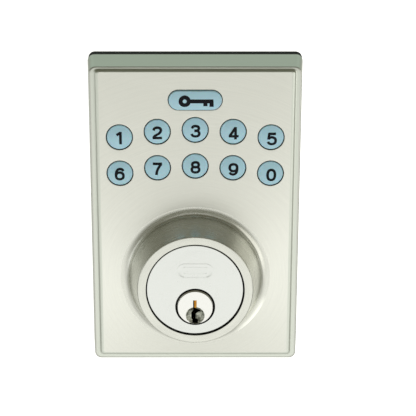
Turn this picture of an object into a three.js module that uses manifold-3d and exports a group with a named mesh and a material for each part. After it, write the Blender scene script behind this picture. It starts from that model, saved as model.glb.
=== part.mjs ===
// The outside half of an electronic keypad deadbolt: a die-cast housing with its keypad, circuit board,
// key cylinder, tailpiece, back plate and door gasket.
// Millimetres. X is to the right as seen from outside, Z is up, and Y runs into the door.
// The origin is on the axis of the round boss, where that axis meets the face of the door.
import * as THREE from "three";
import { mergeVertices } from "three/addons/utils/BufferGeometryUtils.js";
import Module from "manifold-3d";

const wasm = await Module();
wasm.setup();

// ---------------------------------------------------------------- driving dimensions

// Depths along Y, from the front of the boss to the face of the door.
const BOSS_FRONT = -29.8;
const PANEL_FRONT = -18.2;
const RIM_FRONT = -16.65;
const PANEL_BACK = -16;
const WALL_BACK = -4.1;
const PLATE_FRONT = -3.3;
const PLATE_BACK = -1.8;
const DOOR_FACE = 0;

// Housing outline at its front: the rim all round, and the raised panel inside it. The walls are drafted, so
// the housing grows towards the door, by SIDE_DRAFT at each side and by END_DRAFT at the top and the bottom.
const HALF_WIDTH = 34.15;
const BOTTOM = -31;
const TOP = 72.1;
const SIDE_DRAFT = 0.9;
const END_DRAFT = 0.55;
const CORNER = 2.2;
const FRONT_EDGE = 0.35;
const RIM_WIDTH = 1.75;
const PANEL_EDGE = 0.2;
const SIDE_WALL = 2.6;

// Round boss that carries the key cylinder.
const BOSS_ROOT_R = 22.3;
const BOSS_FRONT_R = 18.9;
const BOSS_BORE_R = 16.15;
const BOSS_FILLET = 2.4;
const BOSS_EDGE = 0.35;

// Keypad: two curved rows of five round keys, with a long lock key above them.
const KEY_PITCH = 12.23;
const KEY_HOLE_R = 4.36;
const KEY_CAP_R = 4.08;
const KEY_FLANGE_R = 5.2;
const KEY_FLANGE_FRONT = -15.9;
const KEY_BACK = -15;
const KEY_FRONT = -18.75;
const KEY_ROWS = [
  { digits: [1, 2, 3, 4, 5], centre: 51.44 },
  { digits: [6, 7, 8, 9, 0], centre: 39.08 },
];
const ROW_ARC_R = 121; // the rows droop outwards along a circle of this radius
const LOCK_KEY_Z = 61.5;
const LOCK_KEY_HALF_STRAIGHT = 5.35;
const LOCK_HOLE_R = 3.42;
const LOCK_CAP_R = 3.2;
const LOCK_KEY_FRONT = -19.1;
const LOCK_FLANGE_R = 4.2;
const KEY_EDGE = 0.5;

// Board and silicone mat behind the keys.
const BOARD_FRONT = -11.6;
const BOARD_BACK = -10;
const MAT_FRONT = -12.4;
const DOME_FRONT = -14.95;
const DOME_TIP_R = 2.2;
const DOME_ROOT_R = 3.4;
const BOARD = { halfWidth: 30.6, bottom: 26, shoulder: 57, topHalfWidth: 21.6, top: 69.2 };
const MAT = { halfWidth: 30.2, bottom: 26.5, shoulder: 56.6, topHalfWidth: 16, top: 67.6 };
const BOARD_POSTS = [[-18.5, 66], [18.5, 66], [-18, 29.3], [18, 29.3]];
const BOARD_POST_R = 2.2;
const CHIP = { left: 5, right: 15, bottom: 44, top: 54, height: 1.4 };
const SOUNDER = { x: -14, z: 48, radius: 4.5, height: 3 };
const HEADER = { halfWidth: 6, bottom: 28.5, top: 33.5, height: 5.4, wall: 0.7, floor: 1 };
const HEADER_PINS = { count: 5, pitch: 2, half: 0.3, inset: 1 };

// Key cylinder. Its plug sits below the boss axis and leaves room above for five pin chambers.
const PLUG_Z = -6;
const FACE_R = 15.75;
const FACE_FRONT = -29.45;
const FACE_BACK = -26.6;
const FACE_EDGE = 0.25;
const LOZENGE = { z: 6.9, halfStraight: 3.45, radius: 2.45, relief: 0.12 };
const BARREL_R = 8.4;
const BARREL_BACK = 1.5;
const TOWER_HALF_WIDTH = 3.6;
const TOWER_TOP = 10.6;
const EAR_BACK = -13.4;
const EAR_R = 4;
const EAR_SCREW_X = 19.2;
const PLUG_HEAD_R = 6.35;
const PLUG_HEAD_BACK = -28.1;
const PLUG_HEAD_FRONT = -28.7;
const PLUG_NOSE_R = 5.97;
const PLUG_FRONT = -29.8;
const PLUG_R = 6;
const PLUG_BACK = 1.8;
const PLUG_CLEARANCE = 0.15;

// Pin stacks, set at the shear line as a key holds them.
const PIN_COUNT = 5;
const FIRST_PIN_Y = -23.3;
const PIN_PITCH = 3.97;
const PIN_R = 1.4;
const PIN_CHAMFER = 0.25;
const KEY_PIN_POINT = 0.7;
const CHAMBER_R = 1.6;
const CHAMBER_FLOOR = -0.3; // height above the plug's axis
const KEY_PIN_TOP = 5.9; // height above the plug's axis
const KEY_PIN_LENGTHS = [5.7, 4.6, 5.2, 4.2, 4.9];
const DRIVER_BOTTOM = 6.05; // height above the plug's axis
const DRIVER_LENGTH = 4.3;
const SPRING_WIRE_R = 0.15;
const SPRING_R = 1.15;
const SPRING_TURNS = 5;
const SPRING_GAP = 0.05;
const COVER_HALF_WIDTH = 2.5;
const COVER_MARGIN = 2.2;
const COVER_THICKNESS = 0.6;

// Keyway and the dished mouth round it, in the plug's own frame.
const KEYWAY_END = -3.2;
const KEYWAY_SIDES = [ // left side, right side and height of each step, from the top down
  [-0.68, 0.5, 2.5],
  [-0.68, 0.5, -0.5],
  [-0.9, 1.25, -0.9],
  [-0.9, 1.25, -1.8],
  [-1.05, 0.35, -2.3],
  [-1.05, 0.35, -4.3],
  [-0.95, 0.95, -4.6],
  [-0.95, 0.95, -5.75],
];
const DISH_R = 3;
const DISH_Z = -3;
const DISH_DEPTH = 1.3;
const DISH_STEPS = 4;

// Tailpiece and the lost-motion pocket that drives it.
const BLADE_WIDTH = 6.2;
const BLADE_HEAD_WIDTH = 7.8;
const BLADE_THICKNESS = 1.6;
const BLADE_END = 58;
const POCKET_R = 4.15;
const POCKET_FRONT = -1.4;
const POCKET_GAP = 0.15;
const CAP_R = 7.4;
const CAP_BACK = 3.4;
const CAP_HOLE_R = 3.4;
const CAP_SCREW_R = 4.7; // distance of the cap screws from the plug's axis
const CAP_SCREW_OFFSET = CAP_SCREW_R * Math.SQRT1_2;
const CAP_SCREWS = [[CAP_SCREW_OFFSET, CAP_SCREW_OFFSET], [-CAP_SCREW_OFFSET, -CAP_SCREW_OFFSET]];

// Back plate, its screw posts, and the two posts for the bolts that come through the door.
const PLATE_POSTS = [[-25.6, 64.2], [25.6, 64.2], [-25.6, -22.2], [25.6, -22.2]];
const PLATE_POST_R = 3.4;
const PLATE_MARGIN = 4.9;
const BOLT_POST_X = 19.5;
const BOLT_POST_R = 4;
const BOLT_POST_BACK = 12;
const BOLT_BORE_R = 2.1;
const BOLT_NECK_R = 3;
const BOLT_HEAD_R = 3.9;
const BOLT_HEAD_HEIGHT = 0.8;
const BOLT_EDGE = 0.5;
const PLATE_GAP = 0.8; // between the cylinder and the opening of the back plate
const CABLE_SLOT = { left: -9, right: 9, bottom: 17, top: 24 };

// Door gasket.
const GASKET_INSET = 0.05;
const GASKET_WIDTH = 4.5;
const GASKET_FLANGE = 2.2;

const POST_GAP = 0.3; // round the screw posts, in the gasket and in the mat

// Screws: the head, the shank, the clear hole that the shank passes through and the bore that it grips.
const PLATE_SCREW = { headR: 2.8, headHeight: 1.6, shankR: 1.2, length: 8, holeR: 1.7, boreR: 1.3 };
const BOARD_SCREW = { headR: 1.9, headHeight: 1, shankR: 0.75, length: 5, holeR: 1.1, boreR: 0.85 };
const CYLINDER_SCREW = { headR: 2.8, headHeight: 1.6, shankR: 1.2, length: 7, holeR: 1.7, boreR: 1.3 };
const CAP_SCREW = { headR: 1.3, headHeight: 0.8, shankR: 0.6, length: 4, holeR: 0.95, boreR: 0.65 };
const BORE_SPARE = 0.6; // a blind bore runs this much past the tip of its screw
const SMALL_HOLE_SIDES = 10;

const QUARTER = Math.PI / 2;

// ---------------------------------------------------------------- materials

function finish(color, roughness, metalness) {
  return new THREE.MeshStandardMaterial({ color, roughness, metalness, side: THREE.FrontSide });
}

const satinNickel = finish(0xd3d2c9, 0.36, 1);
const faceNickel = finish(0xe4e6e0, 0.3, 1);
const brightNickel = finish(0xf0f0ec, 0.16, 1);
const zincSteel = finish(0xb9bcc0, 0.42, 1);
const springSteel = finish(0x9a9c9e, 0.35, 1);
const brass = finish(0xc9a045, 0.28, 1);
const blackRubber = finish(0x191a22, 0.8, 0);
const silicone = finish(0xdfe6e6, 0.6, 0);
const keyBlue = finish(0x9cc4d2, 0.42, 0);
const boardGreen = finish(0x1f5b3a, 0.5, 0);
const blackPlastic = finish(0x17181a, 0.5, 0);
const whiteNylon = finish(0xe8e4d6, 0.55, 0);

// ---------------------------------------------------------------- solids

// A closed geometry as a solid that can be cut and joined.
function solid(geometry) {
  const bare = geometry.clone();
  bare.deleteAttribute("normal");
  bare.deleteAttribute("uv");
  const merged = mergeVertices(bare, 1e-4);
  const vertProperties = merged.attributes.position.array;
  const triVerts = new Uint32Array(merged.index.array);
  return new wasm.Manifold(new wasm.Mesh({ numProp: 3, vertProperties, triVerts }));
}

function joined(...geometries) {
  return geometries.map(solid).reduce((whole, next) => whole.add(next));
}

function cut(body, ...geometries) {
  return geometries.map(solid).reduce((rest, tool) => rest.subtract(tool), body);
}

// The surface of a solid, as a geometry with flat-shaded faces.
function surface(body) {
  const mesh = body.getMesh();
  const geometry = new THREE.BufferGeometry();
  geometry.setAttribute("position", new THREE.BufferAttribute(mesh.vertProperties, 3));
  geometry.setIndex(new THREE.BufferAttribute(mesh.triVerts, 1));
  const faceted = geometry.toNonIndexed();
  faceted.computeVertexNormals();
  return faceted;
}

// An outline drawn in X and Z, given thickness from one depth to another.
function slab(shape, front, back, arcSteps = 4) {
  const options = { depth: back - front, bevelEnabled: false, curveSegments: arcSteps };
  return new THREE.ExtrudeGeometry(shape, options).rotateX(QUARTER).translate(0, back, 0);
}

// The same, with its front and back edges rounded by `edge`.
function softSlab(shape, front, back, edge, steps, arcSteps = 4) {
  const geometry = new THREE.ExtrudeGeometry(shape, {
    depth: back - front - 2 * edge,
    bevelThickness: edge,
    bevelSize: edge,
    bevelOffset: -edge,
    bevelSegments: steps,
    curveSegments: arcSteps,
  });
  return geometry.rotateX(QUARTER).translate(0, back - edge, 0);
}

// A body of revolution about Y, from [radius, depth] pairs that run from the back to the front.
function turned(profile, segments = 24) {
  const points = profile.map(([radius, depth]) => new THREE.Vector2(radius, depth));
  return new THREE.LatheGeometry(points.reverse(), segments);
}

function rod(radius, front, back, segments = 24) {
  const geometry = new THREE.CylinderGeometry(radius, radius, back - front, segments);
  return geometry.translate(0, (front + back) / 2, 0);
}

// Turns a body about Y so that it stands along Z, with its depth becoming its height.
function upright(geometry) {
  return geometry.rotateX(QUARTER);
}

function block(left, right, front, back, bottom, top) {
  const geometry = new THREE.BoxGeometry(right - left, back - front, top - bottom);
  return geometry.translate((left + right) / 2, (front + back) / 2, (bottom + top) / 2);
}

// ---------------------------------------------------------------- outlines

function roundedRectangle(left, right, bottom, top, radius) {
  const shape = new THREE.Shape();
  shape.moveTo(left + radius, bottom);
  shape.lineTo(right - radius, bottom);
  shape.absarc(right - radius, bottom + radius, radius, -QUARTER, 0);
  shape.lineTo(right, top - radius);
  shape.absarc(right - radius, top - radius, radius, 0, QUARTER);
  shape.lineTo(left + radius, top);
  shape.absarc(left + radius, top - radius, radius, QUARTER, 2 * QUARTER);
  shape.lineTo(left, bottom + radius);
  shape.absarc(left + radius, bottom + radius, radius, 2 * QUARTER, 3 * QUARTER);
  return shape;
}

// The housing's outline moved in by `inset`. Draft is 0 at its front and 1 at the back of its walls.
function housingOutline(inset, radius, draft = 0) {
  const half = HALF_WIDTH + draft * SIDE_DRAFT - inset;
  const out = draft * END_DRAFT - inset;
  return roundedRectangle(-half, half, BOTTOM - out, TOP + out, radius);
}

// Moves the points of a slab outwards by the draft of the walls at their depth.
function drafted(geometry) {
  const points = geometry.attributes.position;
  const middle = (BOTTOM + TOP) / 2;
  for (let i = 0; i < points.count; i++) {
    const draft = (points.getY(i) - RIM_FRONT) / (WALL_BACK - RIM_FRONT);
    points.setX(i, points.getX(i) + Math.sign(points.getX(i)) * draft * SIDE_DRAFT);
    points.setZ(i, points.getZ(i) + Math.sign(points.getZ(i) - middle) * draft * END_DRAFT);
  }
  return geometry;
}

// A long shape with round ends, lying across.
function stadium(halfStraight, radius, height) {
  const shape = new THREE.Shape();
  shape.moveTo(-halfStraight, height - radius);
  shape.lineTo(halfStraight, height - radius);
  shape.absarc(halfStraight, height, radius, -QUARTER, QUARTER);
  shape.lineTo(-halfStraight, height + radius);
  shape.absarc(-halfStraight, height, radius, QUARTER, 3 * QUARTER);
  return shape;
}

function lockKeyOutline(radius) {
  return stadium(LOCK_KEY_HALF_STRAIGHT, radius, LOCK_KEY_Z);
}

// ---------------------------------------------------------------- where the keys and pins are

const keys = KEY_ROWS.flatMap(({ digits, centre }) =>
  digits.map((digit, column) => {
    const x = (column - 2) * KEY_PITCH;
    const droop = ROW_ARC_R - Math.sqrt(ROW_ARC_R ** 2 - x ** 2);
    return { digit, x, z: centre - droop };
  }),
);

const pinDepths = Array.from({ length: PIN_COUNT }, (_, i) => FIRST_PIN_Y + i * PIN_PITCH);
const earScrews = [[-EAR_SCREW_X, 0], [EAR_SCREW_X, 0]];

// ---------------------------------------------------------------- the assembly

const lock = new THREE.Group();

function add(name, body, material, x = 0, y = 0, z = 0) {
  const geometry = body.isBufferGeometry ? body : surface(body);
  const mesh = new THREE.Mesh(geometry, material);
  mesh.name = name;
  mesh.position.set(x, y, z);
  lock.add(mesh);
}

// The same body at each place in X and Z.
function copies(makeBody, places) {
  return places.map(([x, z]) => makeBody().translate(x, 0, z));
}

// Clear holes for a screw, through everything from one depth to another.
function screwHoles({ holeR }, places, front, back) {
  return copies(() => rod(holeR, front - 1, back + 1, SMALL_HOLE_SIDES), places);
}

// Blind bores that a screw grips, with its head bearing at the depth `seat` and the mouth at `mouth`.
function screwBores({ boreR, length }, places, seat, mouth) {
  return copies(() => rod(boreR, seat - length - BORE_SPARE, mouth + 1, SMALL_HOLE_SIDES), places);
}

// Pan-head screw with a cross recess. Its head bears on the plane y = 0 and stands towards the door.
function screw({ headR, headHeight, shankR, length }) {
  const profile = [
    [0, headHeight],
    [headR * 0.7, headHeight],
    [headR, headHeight * 0.45],
    [headR, 0],
    [shankR, 0],
    [shankR, shankR - length],
    [0, -length],
  ];
  const slot = headR * 0.62;
  const half = headR * 0.13;
  const floor = headHeight * 0.4;
  return cut(
    solid(turned(profile, SMALL_HOLE_SIDES)),
    block(-slot, slot, floor, headHeight + 1, -half, half),
    block(-half, half, floor, headHeight + 1, -slot, slot),
  );
}

function addScrews(name, places, seat, sizes) {
  const geometry = surface(screw(sizes));
  places.forEach(([x, z], i) => add(`${name}_${i + 1}`, geometry.clone(), zincSteel, x, seat, z));
}

// Die-cast housing: a shell that is open towards the door, with a raised panel, the boss and screw posts.
function makeHousing() {
  // The fillet is an arc that leaves the panel flat and meets the sloping side of the boss.
  const slope = (BOSS_ROOT_R - BOSS_FRONT_R) / (PANEL_FRONT - BOSS_FRONT);
  const sweep = QUARTER - Math.atan(slope);
  const filletR = BOSS_ROOT_R + BOSS_FILLET * (Math.sin(sweep) - slope * (1 - Math.cos(sweep)));
  const filletSteps = 4;
  const fillet = Array.from({ length: filletSteps + 1 }, (_, i) => {
    const turn = (sweep * i) / filletSteps;
    return [filletR - BOSS_FILLET * Math.sin(turn), PANEL_FRONT - BOSS_FILLET * (1 - Math.cos(turn))];
  });
  const boss = turned([
    [0, PANEL_BACK],
    [BOSS_ROOT_R, PANEL_BACK],
    ...fillet,
    [BOSS_FRONT_R + slope * BOSS_EDGE, BOSS_FRONT + BOSS_EDGE],
    [BOSS_FRONT_R - BOSS_EDGE, BOSS_FRONT],
    [0, BOSS_FRONT],
  ], 60);
  const rim = drafted(softSlab(housingOutline(0, CORNER), RIM_FRONT, DOOR_FACE, FRONT_EDGE, 2, 2));
  const behindWall = block(-2 * HALF_WIDTH, 2 * HALF_WIDTH, WALL_BACK, DOOR_FACE + 1, 2 * BOTTOM, 2 * TOP);
  const hollow = slab(housingOutline(SIDE_WALL, 1), PANEL_BACK, DOOR_FACE + 1);
  const panelBack = RIM_FRONT + 2 * PANEL_EDGE;
  const panel = softSlab(housingOutline(RIM_WIDTH, 1), PANEL_FRONT, panelBack, PANEL_EDGE, 1);
  const platePosts = copies(() => rod(PLATE_POST_R, PANEL_BACK - 1, PLATE_FRONT, 16), PLATE_POSTS);
  const boardPosts = copies(() => rod(BOARD_POST_R, PANEL_BACK - 1, BOARD_FRONT, 12), BOARD_POSTS);
  const shell = cut(solid(rim), behindWall, hollow).add(joined(panel, boss, ...platePosts, ...boardPosts));
  return cut(
    shell,
    rod(BOSS_BORE_R, BOSS_FRONT - 1, PANEL_BACK + 1, 60),
    ...keys.map(({ x, z }) => rod(KEY_HOLE_R, PANEL_FRONT - 1, PANEL_BACK + 1).translate(x, 0, z)),
    slab(lockKeyOutline(LOCK_HOLE_R), PANEL_FRONT - 1, PANEL_BACK + 1, 6),
    ...screwBores(PLATE_SCREW, PLATE_POSTS, PLATE_BACK, PLATE_FRONT),
    ...screwBores(BOARD_SCREW, BOARD_POSTS, BOARD_BACK, BOARD_FRONT),
    ...screwBores(CYLINDER_SCREW, earScrews, EAR_BACK, PANEL_BACK),
  );
}

// Rubber gasket: a frame against the door, held by a thin flange that the back plate clamps.
function makeGasket() {
  const outer = slab(housingOutline(GASKET_INSET, CORNER, 1), WALL_BACK, DOOR_FACE);
  const throat = GASKET_INSET + GASKET_WIDTH;
  const opening = slab(housingOutline(throat, CORNER, 1), PLATE_FRONT, DOOR_FACE + 1);
  const flangeOpening = slab(housingOutline(throat + GASKET_FLANGE, CORNER, 1), WALL_BACK - 1, DOOR_FACE + 1);
  const postNotches = copies(
    () => rod(PLATE_POST_R + POST_GAP, WALL_BACK - 1, PLATE_FRONT + POST_GAP, 16),
    PLATE_POSTS,
  );
  return cut(solid(outer), opening, flangeOpening, ...postNotches);
}

// Pressed steel back plate, with a keyhole-shaped opening for the cylinder and a slot for the cable.
function makeBackPlate() {
  const { left, right, bottom, top } = CABLE_SLOT;
  const through = [PLATE_FRONT - 1, PLATE_BACK + 1];
  const tabHalf = TOWER_HALF_WIDTH + PLATE_GAP;
  return cut(
    solid(slab(housingOutline(PLATE_MARGIN, CORNER), PLATE_FRONT, PLATE_BACK)),
    rod(BARREL_R + PLATE_GAP, ...through, 32).translate(0, 0, PLUG_Z),
    block(-tabHalf, tabHalf, ...through, PLUG_Z, TOWER_TOP + 2 * PLATE_GAP),
    slab(roundedRectangle(left, right, bottom, top, 1.5), ...through),
    ...screwHoles(PLATE_SCREW, PLATE_POSTS, PLATE_FRONT, PLATE_BACK),
    ...copies(() => rod(BOLT_NECK_R + POST_GAP, ...through, 16), [[-BOLT_POST_X, 0], [BOLT_POST_X, 0]]),
  );
}

// Threaded steel post, riveted through the back plate, that takes a bolt from the inside of the door.
function makeBoltPost() {
  return turned([
    [0, PLATE_BACK],
    [BOLT_BORE_R, PLATE_BACK],
    [BOLT_BORE_R, BOLT_POST_BACK],
    [BOLT_POST_R - BOLT_EDGE, BOLT_POST_BACK],
    [BOLT_POST_R, BOLT_POST_BACK - BOLT_EDGE],
    [BOLT_POST_R, PLATE_BACK],
    [BOLT_NECK_R, PLATE_BACK],
    [BOLT_NECK_R, PLATE_FRONT],
    [BOLT_HEAD_R, PLATE_FRONT],
    [BOLT_HEAD_R - BOLT_EDGE, PLATE_FRONT - BOLT_HEAD_HEIGHT],
    [0, PLATE_FRONT - BOLT_HEAD_HEIGHT],
  ], 16);
}

// Round key cap: a crowned front, and a flange that keeps it behind the panel.
function makeKeyCap() {
  return turned([
    [0, KEY_BACK],
    [KEY_FLANGE_R, KEY_BACK],
    [KEY_FLANGE_R, KEY_FLANGE_FRONT],
    [KEY_CAP_R, KEY_FLANGE_FRONT],
    [KEY_CAP_R, KEY_FRONT + KEY_EDGE],
    [KEY_CAP_R - KEY_EDGE, KEY_FRONT + 0.2 * KEY_EDGE],
    [0, KEY_FRONT],
  ], 20);
}

function makeLockKeyCap() {
  return joined(
    softSlab(lockKeyOutline(LOCK_CAP_R), LOCK_KEY_FRONT, KEY_BACK, KEY_EDGE, 1, 6),
    slab(lockKeyOutline(LOCK_FLANGE_R), KEY_FLANGE_FRONT, KEY_BACK, 6),
  );
}

// A flat sheet, wide behind the round keys and narrower behind the lock key.
function steppedSheet({ halfWidth, bottom, shoulder, topHalfWidth, top }, front, back) {
  return joined(
    slab(roundedRectangle(-halfWidth, halfWidth, bottom, shoulder, 1), front, back),
    slab(roundedRectangle(-topHalfWidth, topHalfWidth, (bottom + shoulder) / 2, top, 1), front, back),
  );
}

// Silicone mat on the board, with a rubber dome behind each round key and two behind the lock key.
function makeMat() {
  const root = (MAT_FRONT + BOARD_FRONT) / 2;
  const profile = [[0, root], [DOME_ROOT_R, root], [DOME_TIP_R, DOME_FRONT], [0, DOME_FRONT]];
  const places = keys.map(({ x, z }) => [x, z]);
  places.push([-LOCK_KEY_HALF_STRAIGHT, LOCK_KEY_Z], [LOCK_KEY_HALF_STRAIGHT, LOCK_KEY_Z]);
  const domes = copies(() => turned(profile, 14), places);
  const postHoles = copies(
    () => rod(BOARD_POST_R + POST_GAP, MAT_FRONT - 1, BOARD_FRONT + 1, 12),
    BOARD_POSTS,
  );
  return cut(steppedSheet(MAT, MAT_FRONT, BOARD_FRONT).add(joined(...domes)), ...postHoles);
}

function makeBoard() {
  const board = steppedSheet(BOARD, BOARD_FRONT, BOARD_BACK);
  return cut(board, ...screwHoles(BOARD_SCREW, BOARD_POSTS, BOARD_FRONT, BOARD_BACK));
}

function makeChip() {
  return block(CHIP.left, CHIP.right, BOARD_BACK, BOARD_BACK + CHIP.height, CHIP.bottom, CHIP.top);
}

// Cable header on the back of the board: a shroud that is open towards the door, with a row of pins.
function makeCableHeader() {
  const { halfWidth, bottom, top, height, wall, floor } = HEADER;
  const { count, pitch, half, inset } = HEADER_PINS;
  const back = BOARD_BACK + height;
  const middle = (bottom + top) / 2;
  const front = BOARD_BACK + floor;
  const shroud = block(-halfWidth, halfWidth, BOARD_BACK, back, bottom, top);
  const hollow = block(wall - halfWidth, halfWidth - wall, front, back + 1, bottom + wall, top - wall);
  const pins = Array.from({ length: count }, (_, i) => {
    const x = (i - (count - 1) / 2) * pitch;
    return block(x - half, x + half, front - floor / 2, back - inset, middle - half, middle + half);
  });
  return cut(solid(shroud), hollow).add(joined(...pins));
}

// The cylinder that stays still: a round face, a barrel for the plug, a tower of pin chambers, and two ears.
function makeCylinderBody() {
  const face = turned([
    [0, FACE_BACK],
    [FACE_R, FACE_BACK],
    [FACE_R, FACE_FRONT + FACE_EDGE],
    [FACE_R - FACE_EDGE, FACE_FRONT],
    [0, FACE_FRONT],
  ], 60);
  const { z, halfStraight, radius, relief } = LOZENGE;
  const lozenge = slab(stadium(halfStraight, radius, z), FACE_FRONT - relief, FACE_FRONT + 1, 8);
  const root = (FACE_FRONT + FACE_BACK) / 2;
  const barrel = rod(BARREL_R, root, BARREL_BACK, 32).translate(0, 0, PLUG_Z);
  const tower = block(-TOWER_HALF_WIDTH, TOWER_HALF_WIDTH, root, BARREL_BACK, PLUG_Z, TOWER_TOP);
  const ears = slab(stadium(EAR_SCREW_X, EAR_R, 0), PANEL_BACK, EAR_BACK, 8);
  return cut(
    joined(face, lozenge, barrel, tower, ears),
    rod(PLUG_R + PLUG_CLEARANCE, FACE_FRONT - 1, BARREL_BACK + 1, 36).translate(0, 0, PLUG_Z),
    rod(PLUG_HEAD_R + PLUG_CLEARANCE, FACE_FRONT - 1, PLUG_HEAD_BACK + 0.1, 36).translate(0, 0, PLUG_Z),
    ...pinDepths.map((y) => upright(rod(CHAMBER_R, 0, TOWER_TOP + 1 - PLUG_Z, 14)).translate(0, y, PLUG_Z)),
    ...screwHoles(CYLINDER_SCREW, earScrews, PANEL_BACK, EAR_BACK),
  );
}

// Outline of the keyway in the plug's frame: a narrow slot whose sides step in and out.
function keywayOutline() {
  const left = KEYWAY_SIDES.map(([x, , z]) => new THREE.Vector2(x, z));
  const right = KEYWAY_SIDES.map(([, x, z]) => new THREE.Vector2(x, z)).reverse();
  return new THREE.Shape([...left, ...right]);
}

// The dish that guides a key into the keyway: part of a sphere, sunk into the front of the plug.
function dish() {
  const reach = Math.atan2(2 * DISH_R * DISH_DEPTH, DISH_R ** 2 - DISH_DEPTH ** 2);
  const sphereR = DISH_R / Math.sin(reach);
  const profile = Array.from({ length: DISH_STEPS + 1 }, (_, i) => {
    const turn = (reach * i) / DISH_STEPS;
    return [sphereR * Math.sin(turn), PLUG_FRONT + DISH_DEPTH - sphereR * (1 - Math.cos(turn))];
  });
  return turned([...profile, [DISH_R, PLUG_FRONT - 1], [0, PLUG_FRONT - 1]]).translate(0, 0, DISH_Z);
}

// Turning plug, modelled about its own axis: keyway, dished mouth, pin chambers and the lost-motion pocket.
function makePlug() {
  const plug = turned([
    [0, PLUG_BACK],
    [PLUG_R, PLUG_BACK],
    [PLUG_R, PLUG_HEAD_BACK],
    [PLUG_HEAD_R, PLUG_HEAD_BACK],
    [PLUG_HEAD_R, PLUG_HEAD_FRONT],
    [PLUG_NOSE_R, PLUG_HEAD_FRONT],
    [PLUG_NOSE_R, PLUG_FRONT],
    [0, PLUG_FRONT],
  ], 36);
  const stop = BLADE_THICKNESS / 2 + POCKET_GAP;
  const reach = POCKET_R + 1;
  const pocketEnd = PLUG_BACK + 1;
  const sweep = joined(
    block(-reach, stop, POCKET_FRONT, pocketEnd, -stop, reach),
    block(-stop, reach, POCKET_FRONT, pocketEnd, -reach, stop),
  );
  const pocket = sweep.intersect(solid(rod(POCKET_R, POCKET_FRONT, pocketEnd, 32)));
  const body = cut(
    solid(plug),
    slab(keywayOutline(), PLUG_FRONT - 1, KEYWAY_END),
    dish(),
    ...pinDepths.map((y) => upright(rod(CHAMBER_R, CHAMBER_FLOOR, PLUG_R + 1, 14)).translate(0, y, 0)),
    ...screwBores(CAP_SCREW, CAP_SCREWS, CAP_BACK, PLUG_BACK),
  );
  return body.subtract(pocket);
}

// Cap on the back of the plug. Its screws sit in the two quarters that the tailpiece never sweeps.
function makePlugCap() {
  return cut(
    solid(rod(CAP_R, PLUG_BACK, CAP_BACK, 36)),
    rod(CAP_HOLE_R, PLUG_BACK - 1, CAP_BACK + 1, 24),
    ...screwHoles(CAP_SCREW, CAP_SCREWS, PLUG_BACK, CAP_BACK),
  );
}

// Flat steel tailpiece: a wide head inside the plug's pocket, and the blade that turns the bolt.
function makeTailpiece() {
  const half = BLADE_THICKNESS / 2;
  const headHalf = BLADE_HEAD_WIDTH / 2;
  const head = block(-half, half, POCKET_FRONT + POCKET_GAP, PLUG_BACK - POCKET_GAP, -headHalf, headHalf);
  const blade = block(-half, half, 0, BLADE_END, -BLADE_WIDTH / 2, BLADE_WIDTH / 2);
  return joined(head, blade);
}

// A pin standing on z = 0, with its foot pointed by `point`.
function makePin(length, point) {
  const profile = [
    [0, length],
    [PIN_R - PIN_CHAMFER, length],
    [PIN_R, length - PIN_CHAMFER],
    [PIN_R, point],
    [PIN_R - point, 0],
    [0, 0],
  ];
  return upright(turned(profile, 14));
}

// Centre line of a coil spring that stands along Z.
class Coil extends THREE.Curve {
  constructor(height) {
    super();
    this.height = height;
  }

  getPoint(t) {
    const turn = t * SPRING_TURNS * 2 * Math.PI;
    return new THREE.Vector3(SPRING_R * Math.cos(turn), SPRING_R * Math.sin(turn), t * this.height);
  }
}

function makeSpring(height) {
  const wire = new THREE.Shape();
  const sides = 4;
  for (let i = 0; i < sides; i++) {
    const turn = (2 * Math.PI * i) / sides;
    const point = [SPRING_WIRE_R * Math.cos(turn), SPRING_WIRE_R * Math.sin(turn)];
    if (i === 0) wire.moveTo(...point);
    else wire.lineTo(...point);
  }
  wire.closePath();
  const path = new Coil(height - 2 * SPRING_WIRE_R);
  const geometry = new THREE.ExtrudeGeometry(wire, { steps: SPRING_TURNS * 8, extrudePath: path });
  return geometry.translate(0, 0, SPRING_WIRE_R);
}

// ---- housing, back plate and gasket
add("housing", makeHousing(), satinNickel);
add("gasket", makeGasket(), blackRubber);
add("back_plate", makeBackPlate(), zincSteel);
addScrews("back_plate_screw", PLATE_POSTS, PLATE_BACK, PLATE_SCREW);
add("bolt_post_left", makeBoltPost(), zincSteel, -BOLT_POST_X);
add("bolt_post_right", makeBoltPost(), zincSteel, BOLT_POST_X);

// ---- keypad and electronics
keys.forEach(({ digit, x, z }) => add(`button_${digit}`, makeKeyCap(), keyBlue, x, 0, z));
add("lock_button", makeLockKeyCap(), keyBlue);
add("keypad_mat", makeMat(), silicone);
add("circuit_board", makeBoard(), boardGreen);
addScrews("board_screw", BOARD_POSTS, BOARD_BACK, BOARD_SCREW);
add("controller_chip", makeChip(), blackPlastic);
const sounderBody = rod(SOUNDER.radius, BOARD_BACK, BOARD_BACK + SOUNDER.height, 24);
add("sounder", sounderBody, blackPlastic, SOUNDER.x, 0, SOUNDER.z);
add("cable_header", makeCableHeader(), whiteNylon);

// ---- key cylinder
add("cylinder_body", makeCylinderBody(), faceNickel);
addScrews("cylinder_screw", earScrews, EAR_BACK, CYLINDER_SCREW);
add("key_plug", makePlug(), brightNickel, 0, 0, PLUG_Z);
add("plug_cap", makePlugCap(), zincSteel, 0, 0, PLUG_Z);
addScrews("plug_cap_screw", CAP_SCREWS.map(([x, z]) => [x, z + PLUG_Z]), CAP_BACK, CAP_SCREW);
add("tailpiece", makeTailpiece(), zincSteel, 0, 0, PLUG_Z);

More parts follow.
